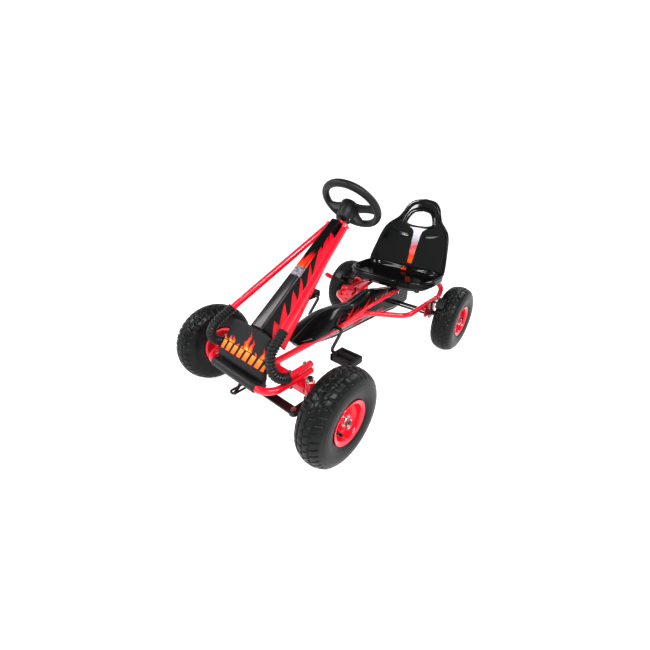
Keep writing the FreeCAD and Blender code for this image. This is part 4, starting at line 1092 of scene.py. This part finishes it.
def make_bumper_sleeve(looks):
    centre, half = middle("bumper_sleeve"), half_size("bumper_sleeve").x / MM
    profile = []
    count = 60
    for k in range(count + 1):
        t = 2 * k / count - 1
        end = smooth(0.95, 1.0, abs(t))
        swell = 13.2 - 0.4 * smooth(0.0, 1.0, abs(t)) - 1.5 * end ** 2
        swell += 0.15 * math.sin(t * 40.0)
        profile.append((t * half, swell))
    profile += [(half, 9.7), (-half, 9.7)]
    mesh = grid_mesh("bumper_foam", moved(spun(profile, 40), centre), along=True)
    piece("bumper_foam", mesh, "frame", looks["foam"], ("bumper_sleeve",))


def block(points, faces, low, high):
    corners = [(x, y, z) for x in (low[0], high[0]) for y in (low[1], high[1]) for z in (low[2], high[2])]
    base = len(points)
    points.extend(Vector(c) * MM for c in corners)
    for quad in ((0, 1, 3, 2), (4, 6, 7, 5), (0, 4, 5, 1), (2, 3, 7, 6), (0, 2, 6, 4), (1, 5, 7, 3)):
        faces.append(tuple(base + q for q in quad))


def make_pedals(looks):
    """Moulded treads: a rounded tray with two raised end rails, three ribs and small grip studs."""
    for name in ("pedal_left", "pedal_right"):
        centre, half = middle(name), half_size(name) / MM
        points, faces = [], []
        tall = half.z - 0.2
        block(points, faces, (-half.x, -half.y, -tall + 1.0), (-half.x + 13, half.y, tall - 1.0))
        block(points, faces, (half.x - 13, -half.y, -tall + 1.0), (half.x, half.y, tall - 1.0))
        for start in (-half.y, -8.5, half.y - 7.5):
            depth = 17 if start == -8.5 else 7.5
            block(points, faces, (-half.x + 2, start, -tall), (half.x - 2, start + depth, tall))
        for start in (-19.5, 14.5):
            block(points, faces, (-half.x + 2, start, -tall + 5), (half.x - 2, start + 5, tall - 5))
        mesh = mesh_of(name, [centre + p for p in points], faces)
        tread = piece(f"{name}_tread", mesh, name, looks["matte"], (name,))
        modifier(tread, "BEVEL", width=2.4 * MM, segments=3, angle_limit=math.radians(35.0))


def make_brake_grip(looks):
    low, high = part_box("brake_grip")
    lever_low, lever_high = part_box("brake_lever")
    run = Vector((0, lever_low.y - lever_high.y, lever_high.z - lever_low.z)).normalized()
    centre = (low + high) / 2
    profile = [(-19.6, 0.0)]
    for k in range(49):
        t = k / 48
        bead = 0.6 * math.cos(t * 4 * 2 * math.pi)
        end = 1 - smooth(0.86, 1.0, t) ** 3 - 0.6 * smooth(0.06, 0.0, t)
        profile.append((lerp(-19.5, 19.3, t), (8.7 + bead) * max(end, 0.25)))
    profile.append((19.4, 0.0))
    turn = Vector((1, 0, 0)).rotation_difference(run).to_matrix()
    mesh = grid_mesh("brake_grip", moved(spun(profile, 32), centre, turn), around=False, along=True)
    piece("brake_handle", mesh, "brake", looks["red_rubber"], ("brake_grip",))


def weld_rows(centre, axis, radius, bead, seed):
    """A lumpy ring of weld round a joint."""
    turn = Vector((0, 0, 1)).rotation_difference(axis.normalized()).to_matrix()
    rows = []
    for step, (c, s) in enumerate(circle(56)):
        lump = 1 + 0.22 * noise.noise(Vector((c * 3, s * 3, seed)))
        lump += 0.12 * math.sin(2 * math.pi * step / 56 * 17 + seed)
        section = [(radius + bead * lump * a, bead * lump * b) for a, b in circle(8)]
        rows.append([Vector((r * c, r * s, z)) * MM for r, z in section])
    return moved(rows, centre, turn)


def make_welds(looks):
    points, faces = [], []
    across = Vector((1, 0, 0))
    joints = []
    for side in (1, -1):
        joints += [
            (at(161.5 * side, 0, 157.5), across, 13.4), (at(39 * side, 255, 190), Vector((0, 0, 1)), 8.0),
            (at(168 * side, 674, 184), Vector((0, 1, 0)), 9.6),
            (at(168 * side, 766, 184), Vector((0, 1, 0)), 9.6),
            (at(46 * side, 292, 193), Vector((0, 0.94, 0.10)), 6.6),
            (at(66 * side, 652, 235), Vector((0, 1, 0.1)), 6.4),
        ]
    for index, (centre, axis, radius) in enumerate(joints):
        add_rows(points, faces, weld_rows(centre, axis, radius, 1.5, index * 1.7), along=True)
    mesh = mesh_of("weld_beads", points, faces)
    piece("weld_beads", mesh, "frame", looks["red"])


def make_tube_caps(looks):
    """Domed caps in the open tube ends."""
    points, faces = [], []
    ends = []
    for side in (1, -1):
        ends += [(at(136 * side, 42, 203), at(136.4 * side, 32, 203)),
                 (at(137 * side, 43, 182.5), at(137 * side, 32, 182.5)),
                 (at(39 * side, -16, 184), at(39 * side, 0, 184)),
                 (at(30.5 * side, 303, 516), at(30.75 * side, 300, 511.5))]
    profile = [(-6.0, 0.0), (-6.0, 7.7), (0.0, 7.7), (0.05, 9.2), (0.8, 8.8), (1.5, 6.5),
               (1.9, 3.5), (2.0, 0.0)]
    for end, behind in ends:
        turn = Vector((1, 0, 0)).rotation_difference((end - behind).normalized()).to_matrix()
        add_rows(points, faces, moved(spun(profile, 28), end, turn), around=False, along=True)
    mesh = mesh_of("tube_caps", points, faces)
    welded(mesh)
    piece("tube_caps", mesh, "frame", looks["red"])


# ---------------------------------------------------------------- carried-over CAD nodes

def dress_nodes(looks):
    """Every CAD node in the finish of its slot."""
    slots = {"red_paint": "red", "black_paint": "black", "zinc": "zinc", "bearing_steel": "bearing",
             "chain_steel": "chain", "matte_plastic": "matte", "sleeve_rubber": "sleeve",
             "red_rubber": "red_rubber", "nylon": "matte", "panel_plastic": "matte",
             "guard_plastic": "matte", "seat_plastic": "matte", "tyre_rubber": "sleeve"}
    for part in frame["record"]["subparts"]:
        obj, material = NODES[part["node"]], looks[slots[part["material_slot"]]]
        if not obj.material_slots:
            obj.data.materials.append(material)
        for slot in obj.material_slots:
            slot.material = material


bpy.context.scene.view_settings.view_transform = "Standard"
bpy.context.scene.view_settings.gamma = 0.78
make_camera()
make_world()
make_stage()
looks = {
    "red": paint("red_paint", RED),
    "black": paint("black_paint", (0.012, 0.012, 0.013), roughness=0.30, coat=0.25),
    "zinc": steel("zinc", (0.72, 0.71, 0.69), 0.22),
    "bearing": steel("bearing_steel", (0.62, 0.62, 0.64), 0.28),
    "chain": steel("chain_steel", (0.20, 0.19, 0.18), 0.38),
    "tyre": tyre_rubber(),
    "sleeve": rubber("sleeve_rubber", (0.008, 0.008, 0.009), roughness=0.26),
    "foam": rubber("bumper_foam", (0.011, 0.011, 0.012), roughness=0.36),
    "red_rubber": rubber("red_rubber", (0.42, 0.008, 0.022), roughness=0.38),
    "matte": matte_plastic("matte_plastic"),
    "wheel": matte_plastic("wheel_plastic", base=(0.011, 0.012, 0.0125), roughness=0.33),
    "seat": gloss_plastic("seat_plastic", seat_strip),
    "guard": gloss_plastic("guard_plastic", guard_art, roughness=0.16),
    "column": gloss_plastic("column_plastic", column_art, roughness=0.16),
    "panel": matte_plastic("panel_plastic", base=(0.014, 0.014, 0.016), roughness=0.34, art=panel_art),
}
dress_nodes(looks)
make_wheels(looks)
make_steering_wheel(looks)
make_seat(looks)
make_guard(looks)
make_column_cover(looks)
make_front_panel(looks)
make_corrugated_sleeves(looks)
make_bumper_sleeve(looks)
make_pedals(looks)
make_brake_grip(looks)
make_welds(looks)
make_tube_caps(looks)

bpy.context.view_layer.update()
